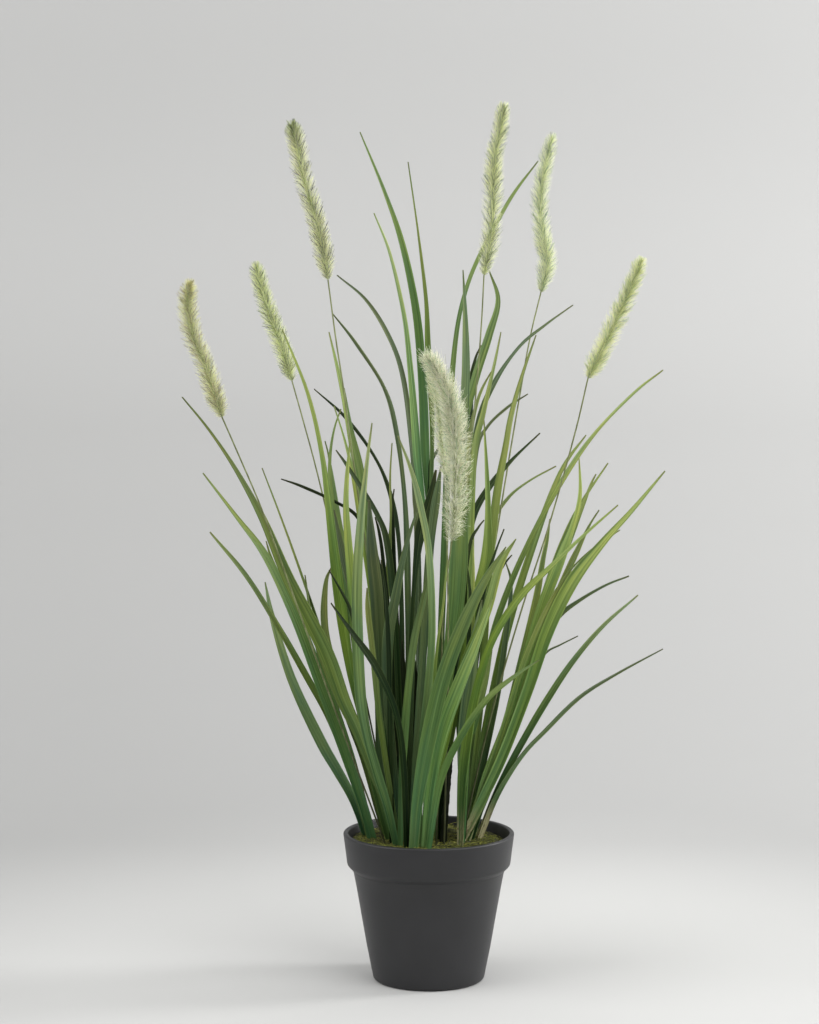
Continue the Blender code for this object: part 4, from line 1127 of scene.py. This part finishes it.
def bristle_set(frame_rows, count, rng, template, radius, width, tangle, slim, angles):
    """One set of bristles that leave the core at the given range of angles, in degrees.

    Returns points, faces, the share along each bristle and the share along the core."""
    t, places, ahead, side, over = frame_rows
    pick = rng.uniform(0.0, 0.97, count)
    row = lambda table: np.stack([np.interp(pick, t, table[:, k]) for k in range(3)], 1)
    place, along, left, back = row(places), unit_rows(row(ahead)), row(side), row(over)
    round_angle = rng.uniform(0.0, math.tau, count)
    radial = left * np.cos(round_angle)[:, None] + back * np.sin(round_angle)[:, None]
    low, high = angles[0] - 14.0 * tangle, angles[1] + 26.0 * tangle
    open_angle = np.radians(rng.uniform(low, high, count))
    near_tip = np.clip((pick - 0.90) / 0.07, 0.0, 1.0)
    open_angle *= 1.0 - 0.35 * near_tip
    envelope = np.clip(0.5 + pick * 6.0, 0.0, 1.0) * (1.0 - 0.15 * near_tip)
    envelope *= 1.0 - slim * np.clip((pick - 0.40) / 0.55, 0.0, 1.0)
    reach = radius * envelope * rng.uniform(0.70, 1.0, count)
    length = np.minimum(reach / np.maximum(np.sin(open_angle), 0.3), radius * 1.4)
    head = along * np.cos(open_angle)[:, None] + radial * np.sin(open_angle)[:, None]
    twist = np.cross(head, along)
    sway = rng.normal(0.0, 1.0, (count, 3)) * (0.05 + 0.30 * tangle)
    bend = along * (rng.uniform(0.06, 0.26, count) + sway[:, 0])[:, None]
    bend += twist * sway[:, 1, None] + radial * np.minimum(sway[:, 2], 0.0)[:, None]
    head, bend = head * 0.94 * length[:, None], bend * length[:, None]
    ends = head + bend
    forward = np.sum(ends * along, axis=1)
    sideways = np.linalg.norm(ends - along * forward[:, None], axis=1)
    total = np.linalg.norm(np.diff(places, axis=0), axis=1).sum()
    keep = np.minimum(1.0, (1.0 - pick) * total / np.maximum(forward, 0.0001))
    room = radius * plume_taper(pick + forward * keep / total) - 0.0004
    keep = np.minimum(keep, room / np.maximum(sideways, 0.0001))[:, None]
    widths = width * rng.uniform(0.75, 1.25, count)
    verts, faces, reach = strands(template, place + radial * 0.0006, head * keep, bend * keep,
                                  widths)
    return verts, faces, reach, np.repeat(pick, len(reach) // count)


def bristle_tones(rng, bristles, count, root, tip, turn, spread, crown):
    """Colours from root to tip along each bristle, each one a little different.

    Towards the plume's own tip they are multiplied by the crown colour."""
    reach, pick = bristles[2:]
    mask = np.clip(reach / turn, 0.0, 1.0)[:, None]
    each = rng.uniform(1.0 - spread, 1.0 + spread, (count, 1))
    each = each * (1.0 + rng.normal(0.0, 0.3 * spread, (count, 3)) * (1.0, 0.4, 0.4))
    top = np.clip((pick - 0.78) / 0.18, 0.0, 1.0)[:, None]
    tone = np.array(root) * (1.0 - mask) + np.array(tip) * mask
    tone = tone * (1.0 - top + top * np.array(crown))
    return tone * np.repeat(each, len(reach) // count, axis=0)


def plume_bristles(name, spine, girth, look, settings, seed):
    """Many fine pale bristles round the core, and fewer coarse ones with dark tips."""
    haze, dark, tangle, slim, crown = look
    radius = settings.radius * girth
    rng = np.random.default_rng(seed)
    frame_rows = plume_frame(spine, 60)
    length_cm = sum((b - a).length for a, b in zip(spine, spine[1:])) * 100.0
    fine_count = int(settings.fine_count * length_cm * girth * (1.0 - 0.45 * tangle))
    coarse_count = int(settings.coarse_count * length_cm * girth)
    core = tuple(0.9 * h * k for h, k in zip(haze, (0.86, 0.95, 0.66)))
    fine = bristle_set(frame_rows, fine_count, rng, strand_template(3, 1, 0.4), radius,
                       settings.fine_width * (1.0 + 0.9 * tangle), tangle, slim, (44, 80))
    coarse = bristle_set(frame_rows, coarse_count, rng, strand_template(3, 3, 0.75), radius,
                         settings.coarse_width, tangle, slim, (44, 60))
    tones = [bristle_tones(rng, fine, fine_count, core, haze, 0.5, 0.10, crown),
             bristle_tones(rng, coarse, coarse_count, core, dark, 0.2, 0.35, crown)]
    verts = np.concatenate([fine[0], coarse[0]])
    faces = np.concatenate([fine[1], coarse[1] + len(fine[0])])
    piece = mesh_object(name, verts, faces)
    piece.data.shade_smooth()
    colours = np.ones((len(verts), 4), dtype=np.float32)
    colours[:, :3] = np.clip(np.concatenate(tones), 0.0, 1.0)
    layer = piece.data.attributes.new("tone", "FLOAT_COLOR", "POINT")
    layer.data.foreach_set("color", colours.ravel())
    return piece


class GRASS_OT_plumes(bpy.types.Operator):
    """Build each plume's core and its fine and coarse bristles"""
    bl_idname = "grass.plumes"
    bl_label = "Plumes"

    def execute(self, context):
        settings = context.scene.grass_plume
        mat = bristle_material()
        core_mat = stem_material("plume_core", (0.22, 0.27, 0.09), (0.40, 0.46, 0.18))
        for number, (name, (rank, girth, core, route)) in enumerate(PLUMES.items()):
            spine = route_points(rank, core)
            count = 50
            radii = []
            for i in range(count):
                t = i / (count - 1)
                radii.append(0.0013 * math.sqrt(max(0.03, min(1.0, t * 12.0, (1.0 - t) * 9.0))))
            inner = [smooth(spine, 0.965 * i / (count - 1)) for i in range(count)]
            core_piece = round_stem("plume_core_" + name, inner, radii)
            finish_piece(core_piece, core_mat, "plume_" + name)
            look = PLUME_LOOKS[name]
            piece = plume_bristles("bristles_" + name, spine, girth, look, settings,
                                   SEED + number)
            finish_piece(piece, mat, "plume_" + name)
        return {"FINISHED"}


# Stage

def area_light(name, place, target, size, power, colour=(1.0, 1.0, 1.0)):
    light = bpy.data.lights.new(name, "AREA")
    light.shape = "RECTANGLE"
    light.size, light.size_y = size
    light.energy = power
    light.color = colour
    lamp = bpy.data.objects.new(name, light)
    lamp.location = place
    lamp.rotation_euler = (Vector(target) - Vector(place)).to_track_quat("-Z", "Y").to_euler()
    bpy.context.scene.collection.objects.link(lamp)
    return lamp


class GRASS_OT_stage(bpy.types.Operator):
    """Set the pale floor and backdrop, the soft lights and the camera"""
    bl_idname = "grass.stage"
    bl_label = "Stage"

    def execute(self, context):
        settings = context.scene.grass_stage
        self.backdrop(settings)
        middle = (0.0, 0.0, 0.40)
        area_light("key_light", (1.7, -1.8, 1.9), middle, (2.6, 2.2), settings.key_power)
        area_light("side_light", (2.1, 0.35, 1.1), middle, (0.5, 1.6), settings.side_power)
        area_light("fill_light", (-2.2, -0.7, 1.6), middle, (2.2, 2.0), settings.fill_power)
        area_light("top_light", (0.0, -0.3, 2.7), middle, (2.6, 2.6), settings.top_power)
        self.world()
        self.camera()
        context.scene.view_settings.view_transform = "Standard"
        return {"FINISHED"}

    def backdrop(self, settings):
        wall_y, bend, half = 1.05, 0.45, 4.0
        profile = [(-4.0, 0.0), (wall_y - bend, 0.0)]
        profile += [(wall_y - bend + bend * math.sin(a), bend - bend * math.cos(a))
                    for a in [math.radians(15 * k) for k in range(1, 7)]]
        profile.append((wall_y, 4.5))
        verts = np.array([(x, y, z) for y, z in profile for x in (-half, half)])
        faces = np.array([(2 * i, 2 * i + 1, 2 * i + 3, 2 * i + 2) for i in range(len(profile) - 1)])
        piece = mesh_object("backdrop", verts, faces)
        piece.data.shade_smooth()
        mat, nodes, links, shader = new_material("backdrop_paper", 0.95)
        tree = mat.node_tree
        place = nodes.new("ShaderNodeTexCoord").outputs["Object"]
        parts = nodes.new("ShaderNodeSeparateXYZ")
        links.new(place, parts.inputs["Vector"])
        # Painted shade on the wall: darker towards the floor, full colour at about 0.62 m and a little
        # darker again above about 0.95 m
        high = tuple(c * 0.92 for c in settings.backdrop)
        low = tuple(c * 0.80 for c in settings.backdrop)
        wall = mix_colour(tree, ramp(tree, parts.outputs["Z"], 0.62, 0.95),
                          tuple(settings.backdrop), high)
        wall = mix_colour(tree, ramp(tree, parts.outputs["Z"], 0.02, 0.62), low, wall)
        # Painted pool of light: the floor round the pot takes the lighter floor colour, fading into the
        # wall colour further out
        away = nodes.new("ShaderNodeVectorMath")
        away.operation = "LENGTH"
        links.new(place, away.inputs[0])
        paper = mix_colour(tree, ramp(tree, away.outputs["Value"], 0.80, 0.28), wall,
                           tuple(settings.floor))
        # Painted light from the right: the whole backdrop grows lighter from left to right, with a soft
        # wobble
        across = math_node(tree, "MULTIPLY_ADD", noise_node(tree, place, 1.6), 0.4, -0.2)
        across = math_node(tree, "ADD", across, parts.outputs["X"])
        painted_light_across = mix_colour(tree, ramp(tree, across, -0.8, 0.8), (0.96, 0.96, 0.96), (1.04, 1.04, 1.04))
        links.new(mix_colour(tree, 1.0, paper, painted_light_across, "MULTIPLY"), shader.inputs["Base Color"])
        behind = nodes.new("ShaderNodeNewGeometry").outputs["Backfacing"]
        seen = nodes.new("ShaderNodeLightPath").outputs["Is Camera Ray"]
        links.new(math_node(tree, "SUBTRACT", 1.0, math_node(tree, "MULTIPLY", behind, seen)),
                  shader.inputs["Alpha"])
        shader.inputs["Specular IOR Level"].default_value = 0.1
        piece.data.materials.append(mat)

    def world(self):
        world = bpy.data.worlds.new("studio")
        bpy.context.scene.world = world
        world.use_nodes = True
        sky = world.node_tree.nodes["Background"]
        sky.inputs["Color"].default_value = (1.0, 1.0, 1.0, 1.0)
        seen = world.node_tree.nodes.new("ShaderNodeLightPath").outputs["Is Camera Ray"]
        strength = math_node(world.node_tree, "MULTIPLY_ADD", seen, 0.26, 0.34)
        world.node_tree.links.new(strength, sky.inputs["Strength"])

    def camera(self):
        data = bpy.data.cameras.new("view")
        data.sensor_fit = "AUTO"
        data.sensor_width = 36.0
        data.lens = FOCAL_PX * data.sensor_width / VIEW_HEIGHT_PX
        data.clip_end = 50.0
        camera = bpy.data.objects.new("view", data)
        camera.location = EYE
        camera.rotation_euler = (math.pi / 2 - EYE_PITCH, 0.0, 0.0)
        bpy.context.scene.collection.objects.link(camera)
        bpy.context.scene.camera = camera


class GRASS_PT_panel(bpy.types.Panel):
    """Lists the steps that build the potted grass"""
    bl_label = "Potted ornamental grass"
    bl_idname = "GRASS_PT_panel"
    bl_space_type = "VIEW_3D"
    bl_region_type = "UI"
    bl_category = "Grass"

    def draw(self, context):
        scene = context.scene
        for settings in (scene.grass_pot, scene.grass_leaf, scene.grass_plume, scene.grass_moss,
                         scene.grass_stage):
            box = self.layout.box()
            for label in settings.bl_rna.properties.keys():
                if label not in ("rna_type", "name"):
                    box.prop(settings, label)
        for step in STEPS:
            self.layout.operator(step.bl_idname)


STEPS = (GRASS_OT_stage, GRASS_OT_pot, GRASS_OT_filling, GRASS_OT_moss, GRASS_OT_leaves,
         GRASS_OT_short_leaves, GRASS_OT_stems, GRASS_OT_plumes)
SETTINGS = (("grass_pot", PotSettings), ("grass_leaf", LeafSettings),
            ("grass_plume", PlumeSettings), ("grass_moss", MossSettings),
            ("grass_stage", StageSettings))


def register():
    for label, group in SETTINGS:
        bpy.utils.register_class(group)
        setattr(bpy.types.Scene, label, bpy.props.PointerProperty(type=group))
    for step in STEPS:
        bpy.utils.register_class(step)
    bpy.utils.register_class(GRASS_PT_panel)


def unregister():
    bpy.utils.unregister_class(GRASS_PT_panel)
    for step in reversed(STEPS):
        bpy.utils.unregister_class(step)
    for label, group in reversed(SETTINGS):
        delattr(bpy.types.Scene, label)
        bpy.utils.unregister_class(group)


def main():
    register()
    bpy.ops.grass.stage()
    bpy.ops.grass.pot()
    bpy.ops.grass.filling()
    bpy.ops.grass.moss()
    bpy.ops.grass.leaves()
    bpy.ops.grass.short_leaves()
    bpy.ops.grass.stems()
    bpy.ops.grass.plumes()
    deselect_all()


if __name__ == "__main__":
    main()
